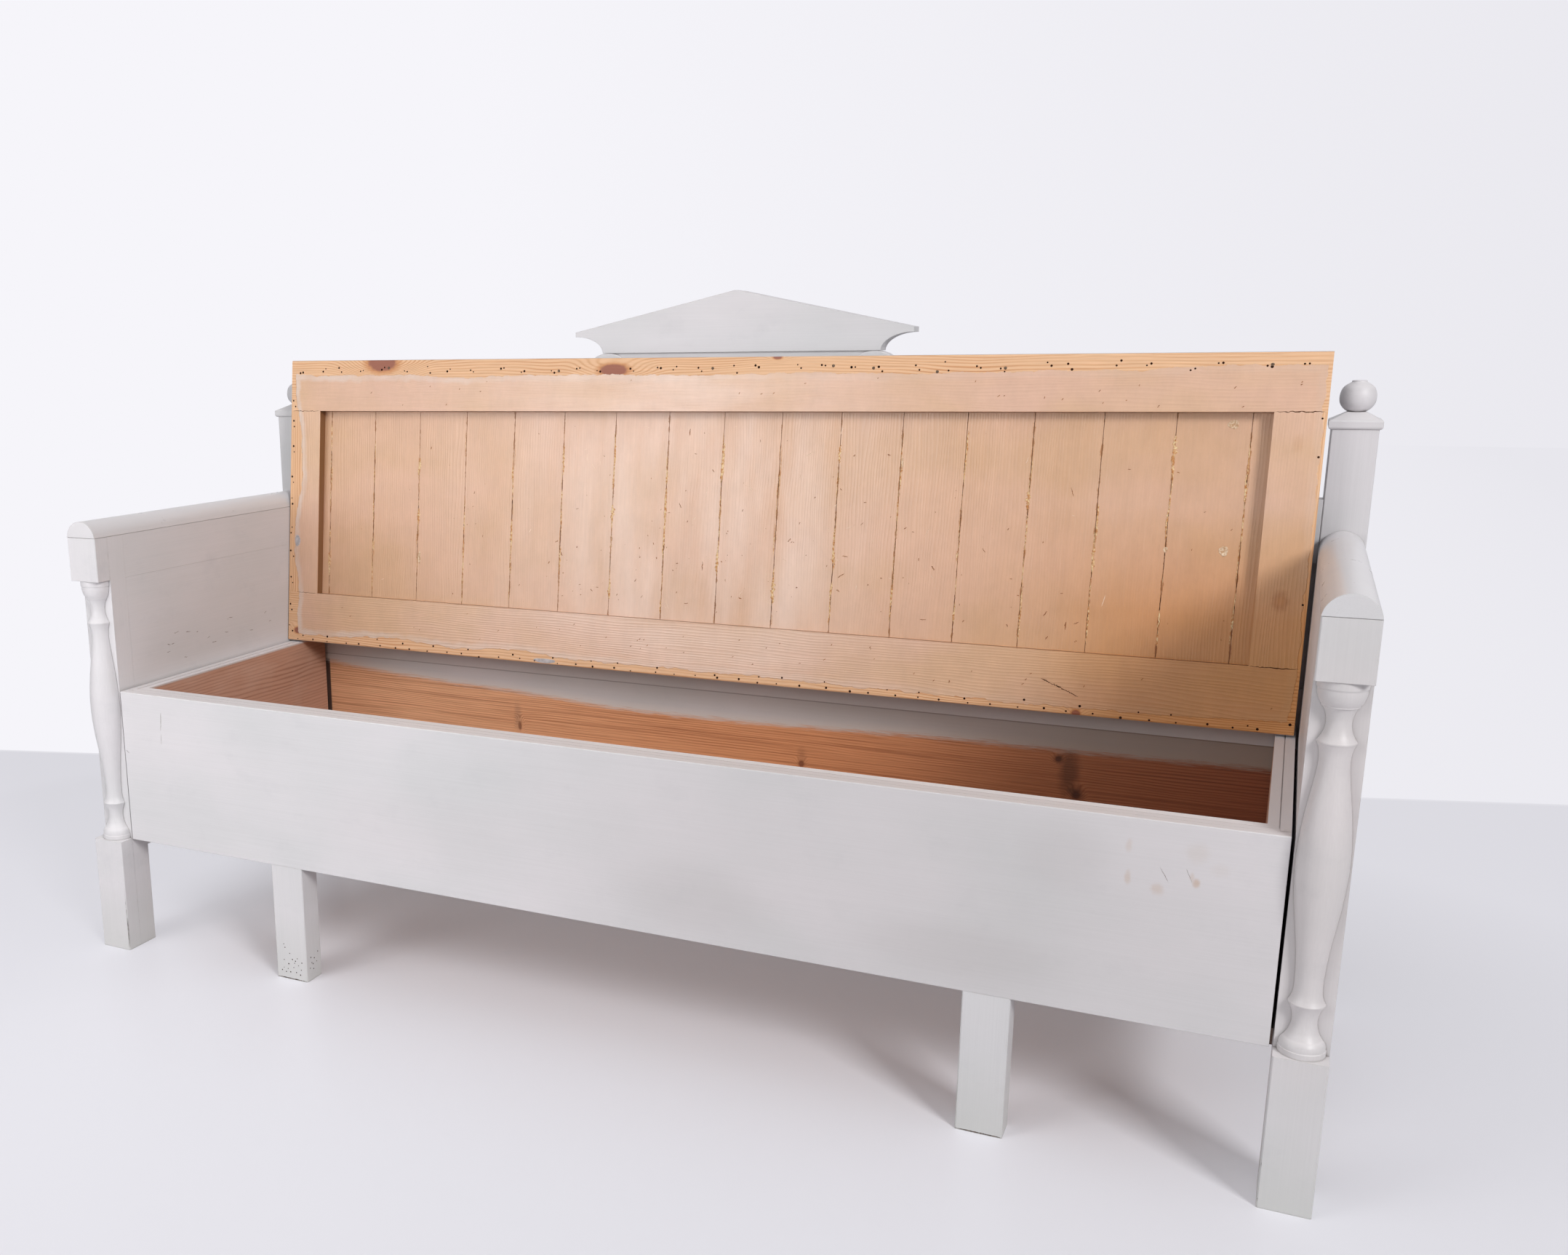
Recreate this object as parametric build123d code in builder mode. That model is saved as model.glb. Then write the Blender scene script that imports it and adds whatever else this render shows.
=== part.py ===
"""Swedish pull-out bench bed: a painted pine settle whose box draws forward to make a bed.

Millimetres, +Z up, X along the bench, -Y towards the sitter. The origin is on the floor at the
middle of the bench's outline. The bench is drawn closed, with its loose lid stood up on the
sides of the box and leaning back on the crest.
"""

import os
from math import asin, cos, degrees, radians, sin, sqrt

from build123d import *

# ---- Sizes of the whole bench -------------------------------------------------------------
LENGTH = 1900.0          # over the two end frames
FRONT_TO_BACK = 577.0    # front of the feet to the face of the back
POST_W = 60.0            # every post, seen from the front
BACK_POST_D = 64.0       # back posts, front to back
FOOT_H = 198.0           # floor to the underside of the box
RIM_H = 460.0            # floor to the rim of the box
ARM_H = 721.0            # floor to the underside of the rounded arm cap
BACK_POST_H = 890.0      # floor to the underside of the post cap

# ---- End frames ---------------------------------------------------------------------------
TURNING_D = 28.0         # split turning, half of a full one
STILE_D = 36.0           # flat stile behind the turning
ARM_RAIL_H = 72.0        # arm rail, and the square block at the head of the turning
ARM_CAP_H = 27.0         # rounded arm cap
ARRIS = 1.5              # eased edges of planed timber
JOINT_ARRIS = 0.8        # eased edges along the joint under the arm cap
PANEL_T = 22.0           # boarded ends
PANEL_BOTTOM = 176.0     # floor to the lower edge of the ends and of the back boards
TONGUE_T = 10.0          # tongue on a board's edge
TONGUE_L = 12.0          # how far a tongue enters its groove
TENON_T = 20.0           # rail tenons
TENON_L = 24.0
TENON_SHOULDER = 10.0    # step above and below a tenon
TENON_WALL = 3.0         # wood left between two joints that cross in a post

# ---- Post caps and finials ----------------------------------------------------------------
CAP_OVERHANG = 4.0
CAP_PLATE_H = 13.0
CAP_NOSE_R = 3.0         # rounded upper edge of the plate
CAP_PYRAMID_H = 10.5
CAP_TOP_W = 24.0
BALL_W = 46.7
BALL_H = 43.5
BALL_SEAT_R = 10.9       # flat on the underside of the ball

# ---- Back ---------------------------------------------------------------------------------
BACK_RAIL_T = 36.0       # seat rail, top rail and muntin
BACK_BOARD_T = 22.0
BACK_SEAM_H = 300.0      # floor to the joint between the two lower back boards
SEAT_RAIL_BOTTOM = 423.0
SEAT_RAIL_TOP = 512.0
TOP_RAIL_BOTTOM = 700.0
TOP_RAIL_TOP = 791.0
MUNTIN_W = 76.0
BACK_PANEL_T = 12.0
BACK_PANEL_SETBACK = 10.0

# ---- Crest --------------------------------------------------------------------------------
CREST_T = 18.0
CREST_SETBACK = 9.0      # crest board behind the face of the rails
CREST_FOOT_HALF = 620.0  # half length of the crest board on the top rail
CREST_FOOT_H = 12.0      # height of the board's square ends
CREST_EAR_ANGLE = 0.6    # radians below level at which the sweep meets the ear
CREST_EAR_SLOPE = -0.1   # how far the sweep leans in as it meets the ear
CREST_FOOT_PULL = 1.1    # how strongly the sweep keeps level at its foot
CREST_EAR_PULL = 0.8     # how strongly it keeps upright at the ear
DISC_R = 48.0
DISC_X = 234.0           # centre of each disc from the middle of the bench
DISC_T = 4.0
PEDIMENT_BOTTOM = 1005.0
PEDIMENT_HALF_FOOT = 244.0
PEDIMENT_HALF_TIP = 296.0
PEDIMENT_COVE_H = 28.0
PEDIMENT_TIP_H = 8.0
PEDIMENT_RISE = 64.0
PEDIMENT_T = 32.0
PEDIMENT_APEX_R = 30.0

# ---- Pull-out box -------------------------------------------------------------------------
BOX_SIDE_GAP = 4.0       # box to end frame, each side
BOX_BACK_GAP = 7.0       # box side to back board
BOX_SETBACK = 25.0       # front of the feet to the face of the box
BOX_FRONT_T = 26.0
BOX_LINER_T = 15.0
BOX_SIDE_T = 26.0
RIM_GROOVE_W = 1.6       # line along the rim of the box sides
RIM_GROOVE_D = 2.0
BOX_TONGUE = 8.0
LEG_W = 61.0
LEG_X = 558.0            # middle of each box leg from the middle of the bench
LEG_LAP_H = 130.0        # how far the leg runs up behind the box front

# ---- Bed bottom ---------------------------------------------------------------------------
RUN_GAP = 0.3            # sliding clearance
RUNNER_H = 21.7
RUNNER_START = 80.0      # front of the feet to the end of each runner
RUNNER_LIP = 8.0         # runner inside the box side
LEDGER_D = 28.0
SLAT_LIFT = 20.0         # underside of the box to the underside of the slats
SLAT_T = 16.0
SLAT_PAIRS = 8           # fixed and moving slats take turns
SLAT_GAP = 9.0
SLAT_END_GAP = 4.0
STRETCHER_D = 40.0
STRETCHER_H = 40.0

# ---- Lid ----------------------------------------------------------------------------------
LID_END_GAP = 4.0        # lid to end frame, each side, when it lies in the middle
LID_SHIFT = 2.5          # the stood lid, left of the middle
LID_W = 538.0
LID_T = 30.0
LID_RAIL_W = 95.0        # rear rail
LID_FRONT_RAIL_LEFT = 95.0   # front rail at its left end
LID_FRONT_RAIL_RIGHT = 83.0  # front rail at its right end
LID_STILE_W = 67.0
LID_BOARDS = 16
LID_STRIP_LEFT = 15.0    # narrow board at the left end
LID_STRIP_RIGHT = 26.5   # narrow board at the right end
LID_RECESS = 19.0        # underside of the boards behind the frame
LID_GROOVE_T = 6.0
LID_GROOVE_L = 8.0
LID_BOARD_TONGUE_T = 5.0
LID_BOARD_TONGUE_L = 4.0
LID_SEAM = 0.8           # shrinkage gap between two boards
LID_EDGE_R = 3.0
LID_TENON_L = 40.0
LID_TENON_T = 8.0
LID_FOOT_BACK = 490.0    # front of the feet to the underside corner of the stood lid
REST_GAP = 0.3           # lid to rim, and lid to crest

# ---- Places worked out from the sizes -----------------------------------------------------
INNER_X = LENGTH / 2 - POST_W
POST_X = LENGTH / 2 - POST_W / 2
DEPTH = FRONT_TO_BACK + BACK_POST_D + CAP_OVERHANG
FRONT = -DEPTH / 2
BACK = FRONT + FRONT_TO_BACK
STILE_FRONT = FRONT + TURNING_D
STILE_BACK = STILE_FRONT + STILE_D
ARM_BLOCK_Z = ARM_H - ARM_RAIL_H
END_TONGUE = (INNER_X + PANEL_T - TONGUE_T, INNER_X + PANEL_T)
END_TONGUE_L = (BACK_RAIL_T - TENON_T) / 2 - TENON_WALL
ARM_TENON = (INNER_X + TENON_L + TENON_WALL, INNER_X + TENON_L + TENON_WALL + TENON_T)
CAP_TOP = BACK_POST_H + CAP_PLATE_H + CAP_PYRAMID_H
BACK_RAIL_Y = BACK + BACK_RAIL_T / 2
CREST_FACE = BACK + CREST_SETBACK
DISC_FACE = CREST_FACE - DISC_T
DISC_Z = PEDIMENT_BOTTOM - DISC_R

BOX_HALF = INNER_X - BOX_SIDE_GAP
BOX_INNER = BOX_HALF - BOX_SIDE_T
BOX_FACE = FRONT + BOX_SETBACK
LINER_FACE = BOX_FACE + BOX_FRONT_T
BOX_INSIDE_Y = LINER_FACE + BOX_LINER_T
BOX_SIDE_END = BACK - BOX_BACK_GAP
RUNNER_TOP = FOOT_H - RUN_GAP
SLAT_Z = FOOT_H + SLAT_LIFT
SLAT_HALF = BOX_INNER - SLAT_END_GAP
SLAT_PITCH = 2 * SLAT_HALF / (2 * SLAT_PAIRS)
SLAT_W = SLAT_PITCH - SLAT_GAP
LEDGER_BACK = BOX_INSIDE_Y + LEDGER_D
STRETCHER_FRONT = LEDGER_BACK + SLAT_END_GAP

LID_HALF = INNER_X - LID_END_GAP
LID_FIELD_HALF = LID_HALF - LID_STILE_W
LID_BOARD_W = (2 * LID_FIELD_HALF - LID_STRIP_LEFT - LID_STRIP_RIGHT) / LID_BOARDS

# The stood lid turns about its underside corner until its far edge meets the discs.
# reach = LID_W sin(lean) + LID_T cos(lean), solved for the lean.
LID_REACH = DISC_FACE - REST_GAP - (FRONT + LID_FOOT_BACK)
LID_DIAGONAL = sqrt(LID_W**2 + LID_T**2)
LEAN = degrees(asin(LID_REACH / LID_DIAGONAL) - asin(LID_T / LID_DIAGONAL))
LEAN_SIN = sin(radians(LEAN))
LEAN_COS = cos(radians(LEAN))
LID_DROP = (LID_T - LID_EDGE_R) * LEAN_SIN + LID_EDGE_R * (1 - LEAN_COS)
LID_FOOT = Vector(-LID_SHIFT, FRONT + LID_FOOT_BACK, RIM_H + REST_GAP + LID_DROP)

SIDES = {"left": -1, "right": 1}


def keep(builder, name):
    """Name a finished piece and write it."""
    builder.part.label = name
    export_step(builder.part, f"parts/{name}.step")


def timber(x_range, y_range, z_range, mode=Mode.ADD):
    """A squared length of timber between pairs of faces, in the current part."""
    size = [abs(high - low) for low, high in (x_range, y_range, z_range)]
    middle = [(low + high) / 2 for low, high in (x_range, y_range, z_range)]
    with Locations(tuple(middle)):
        Box(*size, mode=mode)


def outward(side, near, far):
    """An X range given from the middle of the bench outwards, for one side."""
    return (side * near, side * far)


os.makedirs("parts", exist_ok=True)


# ---- Front stile --------------------------------------------------------------------------
def front_stile(side):
    with BuildPart() as stile:
        timber(outward(side, INNER_X, LENGTH / 2), (STILE_FRONT, STILE_BACK), (0, ARM_H))
        upright = stile.edges().filter_by(Axis.Z)
        chamfer(upright.sort_by(lambda edge: side * edge.center().X + edge.center().Y)[-1], ARRIS)
        groove_y = (STILE_BACK - END_TONGUE_L, STILE_BACK)
        timber(outward(side, *END_TONGUE), groove_y, (PANEL_BOTTOM, ARM_BLOCK_Z), Mode.SUBTRACT)
        mortise_x = outward(side, *ARM_TENON)
        mortise_z = (ARM_BLOCK_Z + TENON_SHOULDER, ARM_H - TENON_SHOULDER)
        timber(mortise_x, (STILE_BACK - TENON_L, STILE_BACK), mortise_z, Mode.SUBTRACT)
    return stile


# ---- Split turning ------------------------------------------------------------------------
# Up the turned length: (part of the way from foot block to arm block, part of half the post).
FOOT_RING = ((0.0, 0.867), (0.0155, 0.867), (0.0177, 0.84))
FOOT_BEAD = ((0.0177, 0.84), (0.0322, 0.81), (0.0432, 0.70))
FOOT_STEP = ((0.0432, 0.70), (0.0455, 0.673))
FOOT_COVE = ((0.0455, 0.673), (0.0931, 0.453), (0.1375, 0.653))
FOOT_COLLAR = ((0.1375, 0.653), (0.1408, 0.675), (0.1441, 0.653))
SHAFT = (
    (0.1441, 0.653),
    (0.1610, 0.545),
    (0.1929, 0.503),
    (0.2616, 0.553),
    (0.3304, 0.667),
    (0.3991, 0.807),
    (0.4678, 0.903),
    (0.5344, 0.930),
    (0.6009, 0.873),
    (0.6674, 0.760),
    (0.7317, 0.620),
    (0.7800, 0.542),
    (0.8160, 0.567),
    (0.8359, 0.660),
)
HEAD_COLLAR = ((0.8359, 0.660), (0.8387, 0.685), (0.8425, 0.673))
HEAD_COVE = ((0.8425, 0.673), (0.8869, 0.435), (0.9302, 0.613))
HEAD_STEP = ((0.9302, 0.613), (0.9302, 0.653), (0.9345, 0.66))
HEAD_BEAD = ((0.9345, 0.66), (0.9534, 0.805), (0.9756, 0.847))
HEAD_RING = ((0.9756, 0.847), (0.98, 0.88), (1.0, 0.88))


def turning_outline(foot, head, half):
    """Half outline of the turned length from the foot block up to the arm block."""

    def places(moulding):
        return [(out * half, foot + up * (head - foot)) for up, out in moulding]

    with BuildLine() as outline:
        Polyline((0, foot), *places(FOOT_RING))
        ThreePointArc(*places(FOOT_BEAD))
        Polyline(*places(FOOT_STEP))
        ThreePointArc(*places(FOOT_COVE))
        ThreePointArc(*places(FOOT_COLLAR))
        Spline(*places(SHAFT))
        ThreePointArc(*places(HEAD_COLLAR))
        ThreePointArc(*places(HEAD_COVE))
        Polyline(*places(HEAD_STEP))
        ThreePointArc(*places(HEAD_BEAD))
        Polyline(*places(HEAD_RING), (0, head))
        Line((0, head), (0, foot))
    return outline


def front_turning(side):
    axis_plane = Plane((side * POST_X, STILE_FRONT, 0), x_dir=(1, 0, 0), z_dir=(0, -1, 0))
    with BuildPart() as turning:
        with BuildSketch(axis_plane):
            with BuildLine():
                add(turning_outline(FOOT_H, ARM_BLOCK_Z, POST_W / 2).line)
            make_face()
        revolve(axis=Axis((side * POST_X, STILE_FRONT, 0), (0, 0, 1)), revolution_arc=360)
        split(bisect_by=Plane.XZ.offset(-STILE_FRONT), keep=Keep.TOP)
        block_x = outward(side, INNER_X, LENGTH / 2)
        timber(block_x, (FRONT, STILE_FRONT), (0, FOOT_H))
        timber(block_x, (FRONT, STILE_FRONT), (ARM_BLOCK_Z, ARM_H))
        arrises = turning.edges().filter_by(Axis.Z).group_by(Axis.Y)[0]
        chamfer(arrises, ARRIS)
    return turning


# ---- Back post ----------------------------------------------------------------------------
def back_post(side):
    with BuildPart() as post:
        timber(outward(side, INNER_X, LENGTH / 2), (BACK, BACK + BACK_POST_D), (0, BACK_POST_H))
        chamfer(post.edges().filter_by(Axis.Z), ARRIS)
        groove_y = (BACK, BACK + END_TONGUE_L)
        timber(outward(side, *END_TONGUE), groove_y, (PANEL_BOTTOM, ARM_BLOCK_Z), Mode.SUBTRACT)
        arm_z = (ARM_BLOCK_Z + TENON_SHOULDER, ARM_H - TENON_SHOULDER)
        timber(outward(side, *ARM_TENON), (BACK, BACK + TENON_L), arm_z, Mode.SUBTRACT)
        rail_x = outward(side, INNER_X, INNER_X + TENON_L)
        rail_y = (BACK_RAIL_Y - TENON_T / 2, BACK_RAIL_Y + TENON_T / 2)
        for bottom, top in ((SEAT_RAIL_BOTTOM, SEAT_RAIL_TOP), (TOP_RAIL_BOTTOM, TOP_RAIL_TOP)):
            rail_z = (bottom + TENON_SHOULDER, top - TENON_SHOULDER)
            timber(rail_x, rail_y, rail_z, Mode.SUBTRACT)
        board_x = outward(side, INNER_X, INNER_X + TONGUE_L)
        board_y = BACK + BACK_BOARD_T / 2
        board_range = (board_y - TONGUE_T / 2, board_y + TONGUE_T / 2)
        timber(board_x, board_range, (PANEL_BOTTOM, SEAT_RAIL_BOTTOM), Mode.SUBTRACT)
        panel_y = BACK + BACK_PANEL_SETBACK
        panel_range = (panel_y, panel_y + BACK_PANEL_T)
        timber(board_x, panel_range, (SEAT_RAIL_TOP, TOP_RAIL_BOTTOM), Mode.SUBTRACT)
    return post


# ---- Post cap: square plate with a rounded edge, and a low pyramid ---------------------------
def post_cap(side):
    centre_y = BACK + BACK_POST_D / 2
    plate_w = POST_W + 2 * CAP_OVERHANG
    plate_d = BACK_POST_D + 2 * CAP_OVERHANG
    with BuildPart() as cap:
        with BuildSketch(Plane((side * POST_X, centre_y, BACK_POST_H))):
            Rectangle(plate_w, plate_d)
        extrude(amount=CAP_PLATE_H)
        fillet(cap.edges().group_by(Axis.Z)[0], CAP_OVERHANG)
        fillet(cap.edges().group_by(Axis.Z)[-1], CAP_NOSE_R)
        with BuildSketch(Plane((side * POST_X, centre_y, BACK_POST_H + CAP_PLATE_H))):
            Rectangle(plate_w - 2 * CAP_NOSE_R, plate_d - 2 * CAP_NOSE_R)
        with BuildSketch(Plane((side * POST_X, centre_y, CAP_TOP))):
            Rectangle(CAP_TOP_W, CAP_TOP_W)
        loft()
    return cap


# ---- Finial: a ball with full shoulders -------------------------------------------------------
# Up the ball: (part of its height, part of half its width) between the seat and the crown.
BALL_OUTLINE = ((0.108, 0.758), (0.26, 0.942), (0.471, 1.0), (0.685, 0.925), (0.837, 0.724), (0.952, 0.42))


def finial(side):
    centre_y = BACK + BACK_POST_D / 2
    plane = Plane((side * POST_X, centre_y, CAP_TOP), x_dir=(1, 0, 0), z_dir=(0, -1, 0))
    rim = [(out * BALL_W / 2, up * BALL_H) for up, out in BALL_OUTLINE]
    with BuildPart() as ball:
        with BuildSketch(plane):
            with BuildLine():
                Spline((BALL_SEAT_R, 0), *rim, (0, BALL_H), tangents=((1, 0.4), (-1, 0)))
                Polyline((0, BALL_H), (0, 0), (BALL_SEAT_R, 0))
            make_face()
        revolve(axis=Axis((side * POST_X, centre_y, 0), (0, 0, 1)), revolution_arc=360)
    return ball


# ---- Arm rail and its rounded cap -----------------------------------------------------------
def arm_rail(side):
    with BuildPart() as rail:
        timber(outward(side, INNER_X, LENGTH / 2), (STILE_BACK, BACK), (ARM_BLOCK_Z, ARM_H))
        lower_edges = rail.edges().filter_by(Axis.Y).group_by(Axis.Z)[0]
        chamfer(lower_edges.sort_by(lambda edge: side * edge.center().X)[-1], ARRIS)
        tenon_z = (ARM_BLOCK_Z + TENON_SHOULDER, ARM_H - TENON_SHOULDER)
        timber(outward(side, *ARM_TENON), (STILE_BACK - TENON_L, BACK + TENON_L), tenon_z)
        groove_z = (ARM_BLOCK_Z, ARM_BLOCK_Z + TENON_SHOULDER)
        timber(outward(side, *END_TONGUE), (STILE_BACK, BACK), groove_z, Mode.SUBTRACT)
    return rail


def arm_cap(side):
    with BuildPart() as cap:
        with BuildSketch(Plane((side * POST_X, FRONT, ARM_H), x_dir=(1, 0, 0), z_dir=(0, -1, 0))):
            with BuildLine():
                arch = ThreePointArc((-POST_W / 2, 0), (0, ARM_CAP_H), (POST_W / 2, 0))
                Line(arch @ 0, arch @ 1)
            make_face()
        extrude(amount=-FRONT_TO_BACK)
        chamfer(cap.faces().sort_by(Axis.Z)[0].edges(), JOINT_ARRIS)
    return cap


# ---- Boarded end, flush with the inside of the posts ----------------------------------------
def end_panel(side):
    with BuildPart() as panel:
        timber(outward(side, INNER_X, INNER_X + PANEL_T), (STILE_BACK, BACK), (PANEL_BOTTOM, ARM_BLOCK_Z))
        end_y = (STILE_BACK - END_TONGUE_L, BACK + END_TONGUE_L)
        timber(outward(side, *END_TONGUE), end_y, (PANEL_BOTTOM, ARM_BLOCK_Z))
        top_z = (ARM_BLOCK_Z, ARM_BLOCK_Z + TENON_SHOULDER)
        timber(outward(side, *END_TONGUE), (STILE_BACK, BACK), top_z)
    return panel


for side_name, side in SIDES.items():
    keep(front_stile(side), f"front_stile_{side_name}")
    keep(front_turning(side), f"front_turning_{side_name}")
    keep(back_post(side), f"back_post_{side_name}")
    keep(post_cap(side), f"post_cap_{side_name}")
    keep(finial(side), f"finial_{side_name}")
    keep(arm_rail(side), f"arm_rail_{side_name}")
    keep(arm_cap(side), f"arm_cap_{side_name}")
    keep(end_panel(side), f"end_panel_{side_name}")


# ---- Back boards, let into the posts at their ends and tongued to each other -----------------
def back_board(bottom, top, tongue_up):
    middle = BACK + BACK_BOARD_T / 2
    tongue_y = (middle - TONGUE_T / 2, middle + TONGUE_T / 2)
    joint = (BACK_SEAM_H, BACK_SEAM_H + TONGUE_L)
    full_x = (-INNER_X - TONGUE_L, INNER_X + TONGUE_L)
    with BuildPart() as board:
        timber((-INNER_X, INNER_X), (BACK, BACK + BACK_BOARD_T), (bottom, top))
        timber(full_x, tongue_y, (bottom, top))
        timber(full_x, tongue_y, joint, Mode.ADD if tongue_up else Mode.SUBTRACT)
    return board


keep(back_board(PANEL_BOTTOM, BACK_SEAM_H, tongue_up=True), "back_board_lower")
keep(back_board(BACK_SEAM_H, SEAT_RAIL_BOTTOM, tongue_up=False), "back_board_upper")


# ---- Rails across the back, tenoned into the posts, grooved for the panels -------------------
PANEL_FACE = BACK + BACK_PANEL_SETBACK
PANEL_Y = (PANEL_FACE, PANEL_FACE + BACK_PANEL_T)
TENON_Y = (BACK_RAIL_Y - TENON_T / 2, BACK_RAIL_Y + TENON_T / 2)
MUNTIN_TENON_HALF = MUNTIN_W / 2 - TENON_SHOULDER


def back_rail(bottom, top, groove_z, mortise_z):
    with BuildPart() as rail:
        timber((-INNER_X, INNER_X), (BACK, BACK + BACK_RAIL_T), (bottom, top))
        tenon_z = (bottom + TENON_SHOULDER, top - TENON_SHOULDER)
        timber((-INNER_X - TENON_L, INNER_X + TENON_L), TENON_Y, tenon_z)
        for side in SIDES.values():
            timber(outward(side, MUNTIN_W / 2, INNER_X), PANEL_Y, groove_z, Mode.SUBTRACT)
        timber((-MUNTIN_TENON_HALF, MUNTIN_TENON_HALF), TENON_Y, mortise_z, Mode.SUBTRACT)
    return rail


seat_rail = back_rail(
    SEAT_RAIL_BOTTOM,
    SEAT_RAIL_TOP,
    (SEAT_RAIL_TOP - TONGUE_L, SEAT_RAIL_TOP),
    (SEAT_RAIL_TOP - TENON_L, SEAT_RAIL_TOP),
)
keep(seat_rail, "seat_rail")

CREST_TONGUE_Y = (CREST_FACE + CREST_T / 2 - TONGUE_T / 2, CREST_FACE + CREST_T / 2 + TONGUE_T / 2)
top_rail = back_rail(
    TOP_RAIL_BOTTOM,
    TOP_RAIL_TOP,
    (TOP_RAIL_BOTTOM, TOP_RAIL_BOTTOM + TONGUE_L),
    (TOP_RAIL_BOTTOM, TOP_RAIL_BOTTOM + TENON_L),
)
CREST_TONGUE_HALF = CREST_FOOT_HALF - TENON_L
with top_rail:
    timber(
        (-CREST_TONGUE_HALF, CREST_TONGUE_HALF),
        CREST_TONGUE_Y,
        (TOP_RAIL_TOP - TONGUE_L, TOP_RAIL_TOP),
        Mode.SUBTRACT,
    )
keep(top_rail, "top_rail")

with BuildPart() as back_muntin:
    timber((-MUNTIN_W / 2, MUNTIN_W / 2), (BACK, BACK + BACK_RAIL_T), (SEAT_RAIL_TOP, TOP_RAIL_BOTTOM))
    timber(
        (-MUNTIN_TENON_HALF, MUNTIN_TENON_HALF),
        TENON_Y,
        (SEAT_RAIL_TOP - TENON_L, TOP_RAIL_BOTTOM + TENON_L),
    )
    for side in SIDES.values():
        groove = outward(side, MUNTIN_W / 2 - TONGUE_L, MUNTIN_W / 2)
        timber(groove, PANEL_Y, (SEAT_RAIL_TOP, TOP_RAIL_BOTTOM), Mode.SUBTRACT)
keep(back_muntin, "back_muntin")


def back_panel(side):
    """A panel held in grooves all round, in the rails, the muntin and the post."""
    panel_z = (SEAT_RAIL_TOP - TONGUE_L, TOP_RAIL_BOTTOM + TONGUE_L)
    with BuildPart() as panel:
        timber(outward(side, MUNTIN_W / 2, INNER_X), PANEL_Y, panel_z)
        ends = outward(side, MUNTIN_W / 2 - TONGUE_L, INNER_X + TONGUE_L)
        timber(ends, PANEL_Y, (SEAT_RAIL_TOP, TOP_RAIL_BOTTOM))
    return panel


for side_name, side in SIDES.items():
    keep(back_panel(side), f"back_panel_{side_name}")


# ---- Crest: swept board, two turned discs and a coved pediment -------------------------------
def half_crest(side):
    """Outline of one half of the crest board, from its foot to under the pediment."""
    foot_z = TOP_RAIL_TOP
    ear_x = DISC_X + DISC_R * cos(CREST_EAR_ANGLE)
    ear = (side * ear_x, DISC_Z - DISC_R * sin(CREST_EAR_ANGLE))
    foot_end = (side * CREST_FOOT_HALF, foot_z + CREST_FOOT_H)
    with BuildLine() as outline:
        Line((0, foot_z), (side * CREST_FOOT_HALF, foot_z))
        Line((side * CREST_FOOT_HALF, foot_z), foot_end)
        Spline(
            foot_end,
            ear,
            tangents=((-side, 0), (side * CREST_EAR_SLOPE, 1)),
            tangent_scalars=(CREST_FOOT_PULL, CREST_EAR_PULL),
        )
        ThreePointArc(ear, (side * (DISC_X + DISC_R), DISC_Z), (side * DISC_X, DISC_Z + DISC_R))
        Line((side * DISC_X, DISC_Z + DISC_R), (0, DISC_Z + DISC_R))
        Line((0, DISC_Z + DISC_R), (0, foot_z))
    return outline


with BuildPart() as crest_board:
    for side in SIDES.values():
        with BuildSketch(Plane((0, CREST_FACE, 0), x_dir=(1, 0, 0), z_dir=(0, -1, 0))):
            with BuildLine():
                add(half_crest(side).line)
            make_face()
        extrude(amount=-CREST_T)
    timber((-CREST_TONGUE_HALF, CREST_TONGUE_HALF), CREST_TONGUE_Y, (TOP_RAIL_TOP - TONGUE_L, TOP_RAIL_TOP))
keep(crest_board, "crest_board")

for side_name, side in SIDES.items():
    with BuildPart() as crest_disc:
        with BuildSketch(Plane((side * DISC_X, CREST_FACE, DISC_Z), x_dir=(1, 0, 0), z_dir=(0, -1, 0))):
            Circle(DISC_R)
        extrude(amount=DISC_T)
        chamfer(crest_disc.faces().sort_by(Axis.Y)[0].edges(), ARRIS)
    keep(crest_disc, f"crest_disc_{side_name}")

with BuildPart() as pediment:
    with BuildSketch(Plane((0, DISC_FACE, PEDIMENT_BOTTOM), x_dir=(1, 0, 0), z_dir=(0, -1, 0))) as gable:
        cove_w = PEDIMENT_HALF_TIP - PEDIMENT_HALF_FOOT
        tip_top = PEDIMENT_COVE_H + PEDIMENT_TIP_H
        with BuildLine():
            right_cove = EllipticalCenterArc((PEDIMENT_HALF_TIP, 0), cove_w, PEDIMENT_COVE_H, 90, arc_size=90)
            right_tip = Line(right_cove @ 0, (PEDIMENT_HALF_TIP, tip_top))
            Line(right_tip @ 1, (0, tip_top + PEDIMENT_RISE))
            Line(right_cove @ 1, (0, 0))
            Line((0, 0), (0, tip_top + PEDIMENT_RISE))
        make_face()
        mirror(about=Plane.YZ)
        fillet(gable.vertices().sort_by(Axis.Y)[-1], PEDIMENT_APEX_R)
    extrude(amount=-PEDIMENT_T)
keep(pediment, "pediment")

# ---- What the box slides on -----------------------------------------------------------------
RUNNER_INNER = BOX_INNER - RUNNER_LIP
for side_name, side in SIDES.items():
    with BuildPart() as runner:
        timber(
            outward(side, RUNNER_INNER, INNER_X),
            (FRONT + RUNNER_START, BACK),
            (RUNNER_TOP - RUNNER_H, RUNNER_TOP),
        )
    keep(runner, f"runner_{side_name}")

with BuildPart() as front_stretcher:
    timber(
        (-RUNNER_INNER, RUNNER_INNER),
        (STRETCHER_FRONT, STRETCHER_FRONT + STRETCHER_D),
        (SLAT_Z - STRETCHER_H, SLAT_Z),
    )
keep(front_stretcher, "front_stretcher")


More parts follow.
